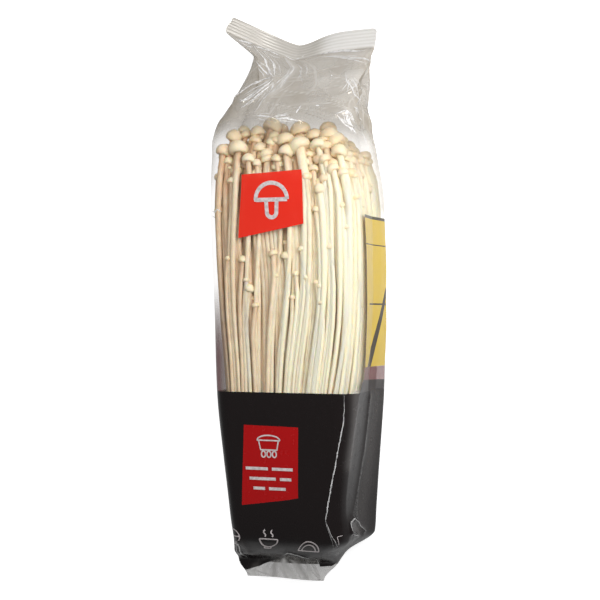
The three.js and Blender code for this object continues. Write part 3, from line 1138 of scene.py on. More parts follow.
    # Soft zones of painted light: gleam above zero paints a highlight, below zero paints shade as added haze
    painted_light_zones: tuple[Stroke, ...] = (
        Stroke(((-6.0, 92.4), (-7.0, 86.5), (-8.2, 78.0)), 1.5, gleam=0.30),
        Stroke(((-2.6, 92.0), (-3.6, 84.0), (-5.0, 76.0)), 1.6, gleam=-0.10),
        Stroke(((-1.0, 80.0), (2.5, 74.0)), 3.4, gleam=-0.16),
        Stroke(((4.0, 76.0), (8.0, 72.0)), 2.6, gleam=-0.10),
        Stroke(((13.0, 88.0), (17.0, 76.0), (19.0, 70.0)), 3.0, gleam=-0.10),
        Stroke(((-18.0, 87.5), (-14.0, 80.5)), 1.6, gleam=-0.14),
        Stroke(((-24.0, 72.0), (-18.0, 69.0), (-12.0, 72.5)), 2.2, gleam=-0.10),
        Stroke(((-23.0, 66.0), (-14.0, 66.5)), 2.4, gleam=0.10),
        Stroke(((22.0, 68.5), (27.0, 66.0), (31.0, 62.0)), 1.6, gleam=0.22),
        Stroke(((26.5, 90.5), (10.0, 92.0)), 1.3, gleam=0.16),
        Stroke(((-27.0, 72.0), (-31.0, 58.0), (-32.0, 46.0)), 4.0, gleam=-0.22),
        Stroke(((29.0, 90.0), (31.0, 74.0), (36.0, 58.0)), 4.5, gleam=-0.16),
        Stroke(((50.0, 72.0), (56.0, 58.0), (59.0, 36.0)), 4.5, gleam=-0.4),
        Stroke(((30.0, -34.0), (31.0, -46.0), (29.5, -60.0)), 2.6, gleam=0.75),
        Stroke(((54.0, -36.0), (50.0, -60.0), (44.0, -80.0)), 5.0, gleam=0.35),
        Stroke(((35.0, -84.0), (40.0, -86.5)), 1.8, gleam=0.7),
        Stroke(((-19.0, -91.0), (-16.0, -97.0)), 0.9, gleam=0.5),
        Stroke(((-16.6, -103.0), (-13.0, -106.5)), 1.7, gleam=0.85),
        Stroke(((-10.0, -101.5), (-8.0, -105.0)), 1.1, gleam=0.5),
        Stroke(((-2.4, -99.6), (1.8, -106.6)), 1.6, gleam=0.95),
        Stroke(((2.6, -99.6), (6.6, -105.8)), 1.0, gleam=0.7),
        Stroke(((9.4, -101.4), (10.2, -106.8)), 0.9, gleam=0.7),
        Stroke(((-5.6, -101.0), (-4.8, -106.0)), 1.3, gleam=-0.3),
        Stroke(((5.0, -100.5), (8.6, -106.0)), 0.8, gleam=-0.3),
    )
    print_foot: Line = (
        (-94.0, -1.0), (-40.0, -1.5), (-24.0, -4.2), (-21.6, -4.2), (-12.9, -2.4), (-0.5, 2.4), (3.5, 5.2),
        (8.0, 4.8), (15.4, 2.0), (16.8, -1.0), (22.0, -0.5), (30.0, 1.0), (94.0, -1.0),
    )
    back_panel: Line = (
        (70.0, 46.0), (72.7, 34.0), (75.5, 24.8), (80.3, 19.2), (84.3, 17.2), (86.0, 30.0),
    )

    def heights(self) -> np.ndarray:
        """Chooses the rows' heights: close together in the seals and the neck, with one at each print edge.

        Returns:
            The heights in millimetres, rising.
        """
        parts = (
            (self.bottom_y, self.seal_y, 0.4), (self.seal_y, self.print_edge_y, 0.75),
            (self.print_edge_y, self.neck_y, 0.9), (self.neck_y, self.top_seal_y, 0.55),
            (self.top_seal_y, self.top_y, 0.2),
        )
        rows = [np.linspace(a, b, round((b - a) / step), endpoint=False) for a, b, step in parts]
        return np.concatenate([*rows, [self.top_y]])

    def crease_field(self, way: np.ndarray, y: np.ndarray) -> np.ndarray:
        """Works out how high the pressed creases stand.

        Args:
            way: true distances round the front, in millimetres.
            y: heights, in millimetres.

        Returns:
            The heights over the film.
        """
        return sum(c.height * np.exp(-c.distance(way, y) / c.spread) for c in self.creases)

    def build(self) -> list[Object]:
        """Builds and dresses the three pieces of film.

        Returns:
            The pieces.
        """
        form = self.form
        heights = self.heights()
        columns = round(form.girth / self.column_step / 4) * 4
        seam = form.girth / 2
        ways = np.linspace(-seam, seam, columns, endpoint=False)
        y, u = np.meshgrid(heights, ways, indexing="ij")
        foot = np.interp(u, *zip(*self.print_foot))
        y = y + foot * np.interp(y, (self.bottom_y, self.seal_y, self.seal_y + self.foot_fade), (0, 1, 0))
        rows = len(heights)
        y, u = y.ravel(), u.ravel()
        places, outward = form.tidy(u, y, form.skin)
        true_ways = self.true_ways(places, rows, columns)
        ups = y.reshape(rows, -1)
        uvs = np.stack([true_ways, np.append(ups, ups[:, :1], axis=1)], axis=2) / FILM_MAP_SPAN + 0.5
        places, crease, haze, crush = self.creased(places, outward, true_ways[:, :-1].ravel())
        places = form.settle(places)
        places[:, 2] = np.maximum(places[:, 2], self.table_gap)
        edges = (self.bottom_y, self.seal_y, self.print_edge_y, self.top_y)
        kinds = (
            (Piece.SEAL_FILM, SealFilmFinish(), Slot.CLEAR, "bag_bottom_seal"),
            (Piece.BLACK_FILM, BlackFilmFinish(), Slot.BLACK, "bag_black_film"),
            (Piece.CLEAR_FILM, ClearFilmFinish(), Slot.CLEAR, "bag_clear_film"),
        )
        pieces = []
        for low, high, (title, finish, slot, node) in zip(edges, edges[1:], kinds):
            first, last = np.searchsorted(heights, [low - self.row_slack, high - self.row_slack])
            taken = slice(first * columns, (last + 1) * columns)
            piece = grid_mesh(title.value, places[taken], last + 1 - first, columns, uvs[first:last + 1])
            for name, values in (("crease", crease), ("haze", haze), ("crush", crush)):
                set_values(piece.data, name, values[taken])
            if last == rows - 1:
                self.close(piece, (last - first) * columns, columns, True)
            if first == 0:
                self.close(piece, 0, columns, False)
            piece.data.materials.append(finish.material(self.effects))
            dress(piece, slot, node)
            pieces.append(piece)
        return pieces

    @staticmethod
    def true_ways(places: np.ndarray, rows: int, columns: int) -> np.ndarray:
        """Measures the true distances round each row, from the middle of the front.

        Args:
            places: tidy places in millimetres.
            rows: how many rows there are.
            columns: how many places each has.

        Returns:
            The distances by row, with one more column for the row's return to its start.
        """
        rings = places[:, [0, 2]].reshape(rows, columns, 2)
        closed = np.append(rings, rings[:, :1], axis=1)
        way = np.cumsum(np.linalg.norm(np.diff(closed, axis=1), axis=2), axis=1)
        way = np.insert(way, 0, 0, axis=1)
        return way - way[:, columns // 2, None]

    def creased(self, places: np.ndarray, outward: np.ndarray, way: np.ndarray) -> tuple[np.ndarray, ...]:
        """Presses all the folds into the tidy film.

        Args:
            places: tidy places in millimetres.
            outward: the outward direction at each.
            way: the true distance round at each.

        Returns:
            The folded places, and at each the strength of the painted highlight, the haze with its painted
            shade and how crushed the film is.
        """
        x, y, z = places.T
        s = self.form.section(y)
        middle = (s["back"] + s["front"]) / 2
        neck = rise(y, *self.neck_in) * (1 - rise(y, *self.neck_out))
        bottom = 1 - rise(y, *self.bottom_out)
        seal = rise(y, *self.seal_in)
        body = 1 - np.maximum(neck, np.maximum(bottom, seal))
        side = 1 - np.abs(outward[:, 2])
        crush = self.neck_crush * neck + self.bottom_crush * bottom + self.seal_crush * (y < self.seal_y)
        crush = np.clip(crush + self.body_crush * body, 0, 1)
        amount = self.bottom_folds * bottom * (y > self.seal_y - self.seal_calm) * (1 - self.side_calm * side)
        big, big_crease = self.neck_crumple.waves(places)
        fine, fine_crease = self.fine_crumple.waves(places)
        slack, _ = self.body_crumple.waves(places)
        out = (neck + amount) * (big + fine) + body * (self.body_slack * slack - self.body_tuck)
        out = out + self.crease_field(way, y)
        out += self.bottom_fine * bottom * fine
        out -= seal * (1 - seal) * self.seal_groove
        moved = places + outward * out[:, None]
        flat = np.clip((y - self.top_seal_y + self.flat_span) / self.flat_span, 0, 1)
        rib = np.sin(2 * math.pi * (y - self.top_seal_y) / self.rib_pitch)
        sheet = np.sign(z - middle) * self.seal_thickness / 2
        sealed = middle + np.where(np.abs(z - middle) < self.pinch, 0, sheet)
        sealed = sealed + self.rib_height * rib * flat
        moved[:, 2] = moved[:, 2] * (1 - flat) + sealed * flat
        end = np.clip(self.ear_round - np.minimum(x - s["left"], s["right"] - x), 0, self.ear_round)
        ear = self.ear_round - np.sqrt(self.ear_round**2 - end**2)
        moved[:, 1] -= ear * smooth((y - self.top_y + self.ear_reach) / self.ear_reach)
        # Painted highlights on the folds, the top seal and its ribs, brighter towards the right.
        crease = self.crease_highlight[0] * big_crease + self.crease_highlight[1] * fine_crease
        crease = crease * np.clip(neck + self.bottom_highlight * bottom, 0, 1)
        right = rise(x, *self.seal_bright_in)
        painted_sheen = 0.6 + 0.4 * fine / self.fine_crumple.height
        ribs = (self.rib_highlight[0] + self.rib_highlight[1] * right) * (0.5 + 0.5 * rib) ** 3 * painted_sheen
        crease = np.maximum(crease, seal * (self.seal_highlight[0] + self.seal_highlight[1] * right + ribs))
        haze = self.bare_haze + self.neck_haze * rise(y, *self.neck_haze_in)
        haze += (self.bare_haze + self.side_haze * rise(y, *self.side_haze_in)) * side
        haze += self.seal_haze * seal + self.bottom_haze * bottom
        # Painted shade along the neck's big folds.
        haze += self.fold_shade * neck * np.clip(big / self.fold_full, -1, 1)
        # The soft zones paint highlights and shade.
        for tone in self.painted_light_zones:
            near = np.exp(-((tone.distance(way, y) / tone.width) ** 2))
            crease = np.maximum(crease, max(tone.gleam, 0) * near)
            haze = haze + max(-tone.gleam, 0) * near
        past = way - np.interp(y, *zip(*self.back_panel))
        panel = smooth(past / self.panel_edge + 0.5)
        panel = panel * rise(y, *self.panel_in) * (1 - rise(y, *self.panel_out))
        haze *= 1 - self.panel_clear * panel * (np.abs(way) < self.panel_half)
        return moved, crease, np.clip(haze, 0, self.most_haze), crush

    def surface(self, way: np.ndarray, y: np.ndarray, lift: float) -> np.ndarray:
        """Finds places just over the finished film.

        Args:
            way: true distances round the front, in millimetres.
            y: heights, in millimetres.
            lift: how far over the film, in millimetres.

        Returns:
            The places.
        """
        places, outward = self.form.tidy(self.form.unroll(way, y), y, self.form.skin - lift)
        return self.form.settle(self.creased(places, outward, way)[0])

    @staticmethod
    def close(piece: Object, first: int, columns: int, top: bool) -> None:
        """Closes an end of a film piece by a strip between its back and its front.

        Args:
            piece: the piece.
            first: the first vertex of the end row.
            columns: how many vertices the row has. It starts at the middle of the back.
            top: whether it is the upper end.
        """
        shape = bmesh.new()
        shape.from_mesh(piece.data)
        shape.verts.ensure_lookup_table()
        ring = [shape.verts[first + (i + columns // 4) % columns] for i in range(columns)]
        for i in range(columns // 2):
            quad = list(dict.fromkeys([ring[i], ring[i + 1], ring[-i - 1], ring[-i]]))
            shape.faces.new(quad if top else quad[::-1])
        shape.to_mesh(piece.data)
        shape.free()


# The bunch


@dataclass(frozen=True)
class Mushroom:
    """One mushroom: where its cap and foot stand in the bag's section, and its sizes, in millimetres."""

    share: float
    foot_share: float
    inset: float
    foot_inset: float
    height: float
    root: float
    cap: float
    stem: float
    foot: float
    tilt: tuple[float, float]
    flat: float
    tone: float
    phase: float


@dataclass
class Bunch:
    """Some hundreds of enoki mushrooms on one root base, packed into the bag."""

    form: BagForm
    effects: SharedEffects
    seed: int = 4
    clear: float = 0.8
    left_fold_share: float = 0.75
    corner: float = 7.8
    root_y: float = -84.0
    base_bottom_y: float = -92.5
    base_top_y: float = -76.0
    steps: int = 15
    cap_drop: float = 0.55
    sway: float = 1.1
    second_row: float = 2.2
    # Painted shade in the flesh's tone: on the left, away from the light, under the caps and behind others
    left_painted_shade: float = 0.42
    neck_painted_shade: float = 0.4
    deep_painted_shade: float = 0.5
    tone_depth: float = 6.0
    mean_girth: float = 150.0
    fold_from_y: float = -5.0
    fold_span: float = 20.0
    front_width: float = 56.0
    front_share: float = 0.17
    waist_y: float = -40.0
    foot_draw: float = 0.93
    rank_share: float = 0.75
    knob_y: float = 30.0
    cap_grow: tuple[float, float] = (1.12, 1.3)
    sway_waves: tuple[float, float] = (29.0, 11.0)
    foot_inset: float = 0.9
    # The mushrooms seen in front: the cap's x and y, its radius, how deep it stands, the stem's radius
    front: tuple[tuple[float, float, float, float, float], ...] = (
        (-26.0, 60.5, 1.9, 4.0, 1.0), (-23.9, 63.6, 2.3, 6.0, 1.1), (-21.2, 61.2, 2.7, 3.0, 1.2),
        (-24.2, 55.6, 2.6, 0.0, 1.25), (-17.6, 56.0, 3.3, 0.0, 1.3), (-12.0, 62.7, 2.6, 4.5, 1.0),
        (-17.1, 62.1, 2.1, 6.5, 0.9), (-8.0, 65.0, 3.4, 7.5, 1.5), (-10.2, 56.2, 2.2, 4.0, 1.0),
        (-13.0, 51.8, 2.3, 0.0, 1.1), (-9.7, 50.3, 1.6, 1.0, 0.9), (-6.6, 53.7, 2.5, 2.4, 1.0),
        (-1.9, 51.6, 1.8, 1.0, 0.9), (1.7, 54.0, 2.5, 0.0, 1.2), (-0.1, 59.0, 3.2, 4.0, 1.1),
        (4.2, 63.0, 3.6, 6.5, 1.4), (6.7, 56.1, 3.7, 0.6, 1.9), (13.8, 56.0, 3.0, 1.2, 1.2),
        (10.1, 53.0, 1.5, 3.0, 0.9), (17.0, 50.7, 1.9, 0.6, 1.0), (17.9, 62.8, 3.2, 6.5, 1.2),
        (16.7, 60.0, 3.6, 4.2, 1.3), (21.9, 53.3, 2.8, 0.0, 1.25), (23.2, 57.8, 3.3, 3.0, 1.3),
        (10.0, 44.6, 1.4, 0.0, 1.1), (16.9, 43.6, 1.8, 0.8, 1.1), (15.3, 39.8, 2.1, 0.0, 1.5),
        (23.9, 45.5, 2.0, 0.0, 1.5), (14.2, 32.2, 1.6, 0.0, 1.1), (-19.5, 43.9, 1.7, 0.8, 1.0),
        (-26.6, 46.2, 1.4, 0.0, 1.0), (-25.5, 33.3, 1.6, 0.0, 1.0), (-21.2, 49.2, 0.9, 3.0, 0.7),
        (-20.6, 15.3, 0.8, 0.0, 0.7), (-13.1, 7.1, 1.0, 0.0, 0.8), (-12.0, 3.9, 1.4, 0.0, 0.9),
        (-9.4, -2.2, 1.1, 0.0, 0.9), (-2.5, 16.8, 1.5, 0.0, 1.1), (2.6, 15.9, 1.7, 0.0, 1.2),
        (6.5, 9.3, 0.9, 0.0, 0.8), (10.6, 7.8, 0.9, 0.0, 0.8), (5.1, 0.7, 0.9, 0.0, 0.8),
        (14.5, 6.1, 0.9, 0.0, 0.8), (16.0, 4.7, 1.1, 0.0, 0.9), (16.5, -1.4, 1.2, 0.0, 0.9),
        (25.4, 25.8, 1.0, 0.0, 0.8), (23.6, 33.9, 1.4, 0.0, 1.1), (25.4, 51.2, 2.4, 1.5, 1.2),
        (25.6, 57.4, 2.9, 5.0, 1.3),
        (28.4, 52.6, 1.8, 0.8, 1.1), (28.8, 45.0, 1.5, 0.0, 1.0), (27.8, 37.0, 1.6, 0.0, 1.0),
        (-28.4, 57.0, 2.0, 1.4, 1.0), (-28.6, 49.8, 1.5, 0.6, 0.9), (-28.0, 38.5, 1.3, 0.0, 0.9),
        (-20.4, 57.6, 2.4, 4.6, 1.0), (-5.2, 60.0, 2.6, 5.4, 1.0), (10.8, 60.4, 2.9, 5.2, 1.1),
        (20.4, 47.0, 2.2, 0.0, 1.2), (12.2, 47.4, 2.0, 1.6, 1.0), (-14.6, 14.8, 1.3, 0.0, 0.9),
        (-1.8, 8.8, 1.2, 0.6, 0.8), (8.6, 18.4, 1.2, 0.0, 0.9), (19.4, 19.0, 1.2, 0.4, 0.9),
    )

    def section(self, y: np.ndarray, inset: np.ndarray) -> dict[str, np.ndarray]:
        """Reads the room that the bag leaves for the bunch.

        Args:
            y: heights in millimetres.
            inset: how far inside the room's edge, at each height.

        Returns:
            The room's centre, half sizes and corner radius, by name.
        """
        s = self.form.section(y)
        full = smooth((self.fold_from_y - y) / self.fold_span)
        fold = self.left_fold_share + (1 - self.left_fold_share) * full
        left = s["left"] + self.clear + fold * s["gusset"] + inset
        right = s["right"] - self.clear - s["gusset"] - inset
        wide = np.maximum((right - left) / 2, 0.5)
        deep = np.maximum((s["front"] - s["back"]) / 2 - self.clear - inset, 0.5)
        return {
            "x": (left + right) / 2, "z": (s["back"] + s["front"]) / 2, "wide": wide, "deep": deep,
            "r": np.minimum(np.maximum(self.corner - inset, 1), np.minimum(wide, deep)),
        }

    def around(self, share: np.ndarray, room: dict[str, np.ndarray]) -> tuple[np.ndarray, np.ndarray]:
        """Walks round the room.

        Args:
            share: the share of the way round, 0 at the middle of the front and on towards +X.
            room: the room from section().

        Returns:
            The x and the z reached.
        """
        w, d, r = room["wide"], room["deep"], room["r"]
        arc = math.pi * r / 2
        legs = np.stack([w - r, arc, 2 * (d - r), arc, 2 * (w - r), arc, 2 * (d - r), arc, w - r])
        ends = np.cumsum(legs, axis=0)
        way = np.mod(share, 1) * ends[-1]
        leg = np.minimum((way[None, :] > ends).sum(axis=0), LEGS - 1)
        at = way - np.where(leg > 0, np.take_along_axis(ends, np.maximum(leg - 1, 0)[None, :], 0)[0], 0)
        sin, cos = np.sin(at / r), np.cos(at / r)
        on = [leg == n for n in range(LEGS)]
        x = np.select(on, [
            at, w - r + r * sin, w, w - r + r * cos, w - r - at,
            r - w - r * sin, -w, r - w - r * cos, r - w + at,
        ])
        z = np.select(on, [
            d, d - r + r * cos, d - r - at, r - d - r * sin, -d,
            r - d - r * cos, at + r - d, d - r + r * sin, d,
        ])
        return room["x"] + x, room["z"] + z

    def girth(self, y: float, inset: float) -> float:
        """Works out the way round the room at one height.

        Args:
            y: the height.
            inset: how far inside the room's edge.

        Returns:
            The way round, in millimetres.
        """
        room = self.section(np.array([y]), np.array([inset]))
        w, d, r = (float(room[key][0]) for key in ("wide", "deep", "r"))
        return 4 * (w + d) - (8 - 2 * math.pi) * r

    def front_plans(self, draw: random.Random) -> list[Mushroom]:
        """Plans the mushrooms seen in front.

        Args:
            draw: the source of the small differences.

        Returns:
            The plans.
        """
        foremost = sorted(p[0] for p in self.front if p[3] < self.second_row)
        plans = []
        for x, y, cap, deep, stem in self.front:
            inset = deep + 0.9 * cap
            share = self.share_at(x, y, inset)
            foot_inset = 0.9 * deep + self.foot_inset
            waist = self.girth(self.waist_y, foot_inset)
            foot_share = share * self.girth(y, inset) * self.foot_draw / waist
            if deep < self.second_row:
                rank = (foremost.index(x) + 0.5) / len(foremost) - 0.5
                ranked = self.rank_share * rank * self.front_width / waist
                foot_share = (1 - self.rank_share) * foot_share + ranked
            grow = self.cap_grow[0] if y > self.knob_y else self.cap_grow[1]
            plans.append(Mushroom(
                share, foot_share + draw.uniform(-0.002, 0.002), inset, foot_inset,
                y + self.cap_drop * cap, self.root_y, cap * grow, stem,
                draw.uniform(0.62, 0.8), (draw.uniform(-24, 24), draw.uniform(-16, 16)),
                draw.uniform(0.8, 1.05), draw.uniform(0.1, 0.5), 9 * share,
            ))
        return plans

    def share_at(self, x: float, y: float, inset: float) -> float:
        """Finds the share of the way round the room at which the front has a given x.

        Args:
            x: the wanted x, in millimetres.
            y: the height.
            inset: how far inside the room's edge.

        Returns:
            The share, negative left of the middle.
        """
        room = self.section(np.array([y]), np.array([inset]))
        wide, r = float(room["wide"][0]), float(room["r"][0])
        off = x - float(room["x"][0])
        beyond = max(0.0, min(1.0, (abs(off) - wide + r) / r))
        way = min(abs(off), wide - r) + r * math.asin(beyond)
        return math.copysign(way, off) / self.girth(y, inset)

    def row_plans(self, draw: random.Random) -> list[Mushroom]:
        """Plans the rows behind and around them, from the outside in.

        Args:
            draw: the source of the differences.

        Returns:
            The plans.
        """
        # How many, how deep, the share of short ones, the tall ones' tops, the root's height, the widest cap
        rows = (
            (100, 0.0, 0.45, (42.0, 58.0), self.root_y, 2.4), (92, 1.9, 0.25, (42.0, 58.0), self.root_y, 2.6),
            (74, 4.2, 0.10, (47.0, 61.0), self.root_y, 3.2), (44, 7.6, 0.0, (52.0, 64.0), 0.0, 3.6),
            (24, 11.6, 0.0, (54.0, 66.0), 20.0, 3.7), (11, 15.8, 0.0, (56.0, 66.0), 20.0, 3.7),
        )
        plans = []
        for count, inset, short_share, tall, root, biggest in rows:
            for i in range(count):
                share = (i + 0.5 + draw.uniform(-0.22, 0.22)) / count
                near = (share + 0.5) % 1 - 0.5
                short = draw.random() < short_share
                if inset < 1 and abs(near) < self.front_share:
                    continue
                if short:
                    height, cap = draw.uniform(-14, 44), draw.uniform(0.8, 1.7)
                else:
                    height, cap = draw.uniform(*tall), draw.uniform(1.8, 3.8)
                cap = min(cap, biggest)
                stem = max(0.75, min(0.5 * cap + 0.25, 1.3))
                plans.append(Mushroom(
                    share, share + draw.uniform(-0.01, 0.01), inset + cap, inset + self.foot_inset,
                    height, root, cap, stem,
                    draw.uniform(0.62, 0.85), (draw.uniform(-22, 22), draw.uniform(-22, 22)),
                    draw.uniform(0.75, 1.0), draw.uniform(0.15, 0.7), 9 * share,
                ))
        return plans

    def line(self, plan: Mushroom) -> np.ndarray:
        """Draws the middle line of a stem, from its root to just under its cap.

        Args:
            plan: the mushroom.

        Returns:
            Points in millimetres, one in each row.
        """
        top = plan.height - self.cap_drop * plan.cap
        t = np.linspace(0, 1, self.steps)
        y = plan.root + (top - plan.root) * t
        climb = rise(t, 0.05, 0.95)
        head = smooth((y - top + 14) / 14)
        inset = plan.foot_inset + (plan.inset - plan.foot_inset) * head
        share = plan.foot_share + (plan.share - plan.foot_share) * climb
        long, short = self.sway_waves
        wave = np.sin(y / long + plan.phase) + 0.35 * np.sin(y / short + 2.3 * plan.phase)
        sway = self.sway * wave * rise(y, self.base_top_y, 40) * (1 - smooth((y - top + 10) / 10))
        x, z = self.around(share + sway / self.mean_girth, self.section(y, inset))
        settled = self.form.settle(np.stack([x, y, z], axis=1))
        return np.stack([settled[:, 0], y, z], axis=1)

    def build(self) -> list[Object]:
        """Builds and dresses the stems, the caps and the root base.

        Returns:
            The pieces.
        """
        draw = random.Random(self.seed)
        plans = self.front_plans(draw) + self.row_plans(draw)
        lines = [self.line(plan) for plan in plans]
        log.info("%d mushrooms", len(plans))
        flesh = FleshFinish("enoki_stem", (0.97, 0.88, 0.66, 1.0), (0.66, 0.44, 0.27, 1.0), 0.5, 0.5, 0.3)
        crown = FleshFinish("enoki_cap", (0.98, 0.84, 0.60, 1.0), (0.72, 0.47, 0.23, 1.0), 0.1, 0.42, 0.12)
        felt = FleshFinish("mycelium", (0.90, 0.76, 0.56, 1.0), (0.76, 0.54, 0.34, 1.0), 0.2, 0.8, 1.0)
        stems = self.build_stems(plans, lines, flesh.material(self.effects))
        caps = self.build_caps(plans, lines, crown.material(self.effects))
        return [stems, caps, self.build_base(felt.material(self.effects))]

    def depth(self, plan: Mushroom) -> float:
        """Returns the painted shade, as a warmer tone, that a mushroom gets for standing behind others."""
        return self.deep_painted_shade * min(1.0, (plan.inset - plan.cap) / self.tone_depth)

    def build_stems(self, plans: list[Mushroom], lines: list[np.ndarray], material: Material) -> Object:
        """Sweeps the stems along their middle lines with Geometry Nodes.

        Args:
            plans: the mushrooms.
            lines: their middle lines.
            material: the stems' material.

        Returns:
            The stems as one mesh.
        """
        points = np.concatenate(lines)
        starts = [i * self.steps + k for i in range(len(lines)) for k in range(self.steps - 1)]
        edges = [(start, start + 1) for start in starts]
        t = np.linspace(0, 1, self.steps)
        thick = np.concatenate([p.foot + (p.stem - p.foot) * rise(t, 0.3, 0.7) for p in plans])
        # Painted shade: warmer under the caps, on the mushrooms behind, and on the left, away from the light.
        neck = self.neck_painted_shade * rise(t, 0.9, 0.1)
        tone = np.concatenate([0.8 * p.tone + 0.7 * self.depth(p) * smooth(t / 0.7) + neck for p in plans])
        tone -= self.left_painted_shade * np.clip(points[:, 0] / 24, -1, 1)
        mesh = bpy.data.meshes.new("stem_lines")
        mesh.from_pydata((points * MM).tolist(), edges, [])
        set_values(mesh, "thick", thick * MM)
        set_values(mesh, "tone", tone)
        values = {"Sides": 8, "Unevenness": 0.00018, "Finish": material}
        return grown(Piece.STEMS.value, mesh, stem_tree(), values)

    def build_caps(self, plans: list[Mushroom], lines: list[np.ndarray], material: Material) -> Object:
        """Sets a cap on every stem with Geometry Nodes.

        Args:
            plans: the mushrooms.
            lines: their middle lines.
            material: the caps' material.

        Returns:
            The caps as one mesh.
        """
        places, turns, sizes = [], [], []
        draw = random.Random(self.seed + 1)
        for plan, line in zip(plans, lines):
            up = Vector(line[-1] - line[-2]).normalized()
            aside, forward = (math.radians(tilt) for tilt in plan.tilt)
            lean = Matrix.Rotation(aside, 3, "Z") @ Matrix.Rotation(forward, 3, "X")
            spin = Matrix.Rotation(draw.uniform(0, 6), 3, "Z")
            turn = (lean @ up).to_track_quat("Z", "Y").to_matrix() @ spin
            places.append(line[-1] + 0.1 * plan.cap * np.array(up))
            turns.append(tuple(turn.to_euler()))
            sizes.append((plan.cap, plan.cap * draw.uniform(0.92, 1.0), plan.cap * plan.flat))
        mesh = bpy.data.meshes.new("cap_places")
        mesh.from_pydata((np.array(places) * MM).tolist(), [], [])
        set_values(mesh, "turn", np.array(turns))
        set_values(mesh, "size", np.array(sizes) * MM)
        # The caps get painted shade too where they stand behind others.
        set_values(mesh, "tone", np.array([0.5 * p.tone + 0.3 * self.depth(p) for p in plans]))
        shape = self.cap_shape()
        values = {"Cap": shape, "Unevenness": 0.0005, "Finish": material}
        caps = grown(Piece.CAPS.value, mesh, cap_tree(), values)
        bpy.data.objects.remove(shape)
        return caps

    @staticmethod
    def cap_shape() -> Object:
        """Turns one cap of radius 1: a dome whose rim rolls in under it.

        Returns:
            A scratch object, to be removed after use.
        """
        profile = (
            (0.4, 0.93), (0.72, 0.72), (0.94, 0.36), (1.0, -0.04), (0.92, -0.34), (0.7, -0.46), (0.36, -0.34),
        )
        sides = 14
        ring = [(math.cos(2 * math.pi * k / sides), math.sin(2 * math.pi * k / sides)) for k in range(sides)]
        places = [(0, 0, 1.0)] + [(r * c, r * s, z) for r, z in profile for c, s in ring] + [(0, 0, -0.3)]
        faces = [(0, 1 + k, 1 + (k + 1) % sides) for k in range(sides)]
        for j in range(len(profile) - 1):
            for k in range(sides):
                a, b = 1 + j * sides + k, 1 + j * sides + (k + 1) % sides
                faces.append((a, a + sides, b + sides, b))
        low = 1 + (len(profile) - 1) * sides
        faces += [(len(places) - 1, low + (k + 1) % sides, low + k) for k in range(sides)]
        mesh = bpy.data.meshes.new("cap_shape")
        mesh.from_pydata(places, [], faces)
        mesh.update()
        return placed("cap_shape", mesh)

    def build_base(self, material: Material) -> Object:
        """Lofts the root base, lumpy with mycelium.

        Args:
            material: its material.

        Returns:
            The base.
        """
        low, top = self.base_bottom_y, self.base_top_y
        stages = np.array([
            (low, 6.5), (low + 0.6, 3.8), (-91.2, 2.2), (-89, 1.2), (-86, 0.7), (-83, 0.4), (-80, 0.5),
            (-77.6, 0.9), (top, 2.2), (-74, 3.6), (-50, 3.6), (-20, 3.6), (10, 3.8), (30, 4.6), (40, 5.6),
            (42, 9.0),
        ])
        columns = 96
        rings = []
        for y, inset in stages:
            share = np.linspace(0, 1, columns, endpoint=False)
            many = np.full(columns, y)
            x, z = self.around(share, self.section(many, np.full(columns, inset)))
            lumps = 0.35 * np.sin(share * 150 + y) * np.sin(share * 67 - y * 0.7)
            settled = self.form.settle(np.stack([x, many, z], axis=1))
            rings.append(np.stack([settled[:, 0] * (1 - 0.012 * lumps), many + 0.3 * lumps, z], axis=1))
        uvs = np.zeros((len(stages), columns + 1, 2))
        base = grid_mesh(Piece.ROOT_BASE.value, np.concatenate(rings), len(stages), columns, uvs)
        shape = bmesh.new()
        shape.from_mesh(base.data)
        shape.verts.ensure_lookup_table()
        shape.faces.new([shape.verts[k] for k in range(columns)])
        shape.faces.new([shape.verts[len(shape.verts) - columns + k] for k in reversed(range(columns))])
        bmesh.ops.triangulate(shape, faces=[f for f in shape.faces if len(f.verts) > 4])
        bmesh.ops.recalc_face_normals(shape, faces=shape.faces)
        shape.to_mesh(base.data)
        shape.free()
        set_values(base.data, "tone", np.full(len(base.data.vertices), 0.4))
        base.data.materials.append(material)
        dress(base, Slot.FLESH, "enoki_bunch")
        return base


def stem_tree() -> Tree:
    """Builds the Geometry Nodes that sweep stems along lines.

    Returns:
        The tree, with inputs Sides, Unevenness and Finish.
    """
    nodes, inside, out = new_group(
        "sweep_stems",
        {"Lines": "Geometry", "Sides": "Int", "Unevenness": "Float", "Finish": "Material"},
        {"Stems": "Geometry"}, "GeometryNodeTree",
    )
    given = inside.outputs
    stems = nodes.result("GeometryNodeCurveToMesh", {
        "Curve": nodes.result("GeometryNodeMeshToCurve", {"Mesh": given["Lines"]}),
        "Profile Curve": nodes.result(
            "GeometryNodeCurvePrimitiveCircle", {"Radius": 1.0, "Resolution": given["Sides"]}, "Curve"),
        "Scale": nodes.named("thick", "FLOAT"),
        "Fill Caps": True,
    })
    return finish_tree(nodes, inside, out, stems, 140.0)


def cap_tree() -> Tree:
    """Builds the Geometry Nodes that set a cap on each place.

    Returns:
        The tree, with inputs Cap, Unevenness and Finish.
    """
    nodes, inside, out = new_group(
        "set_caps",
        {"Places": "Geometry", "Cap": "Object", "Unevenness": "Float", "Finish": "Material"},
        {"Caps": "Geometry"}, "GeometryNodeTree",
    )
    given = inside.outputs
    caps = nodes.result("GeometryNodeInstanceOnPoints", {
        "Points": given["Places"],
        "Instance": nodes.result("GeometryNodeObjectInfo", {"Object": given["Cap"]}, "Geometry"),
        "Rotation": nodes.named("turn", "FLOAT_VECTOR"),
        "Scale": nodes.named("size", "FLOAT_VECTOR"),
    })
    return finish_tree(nodes, inside, out, caps, 330.0)


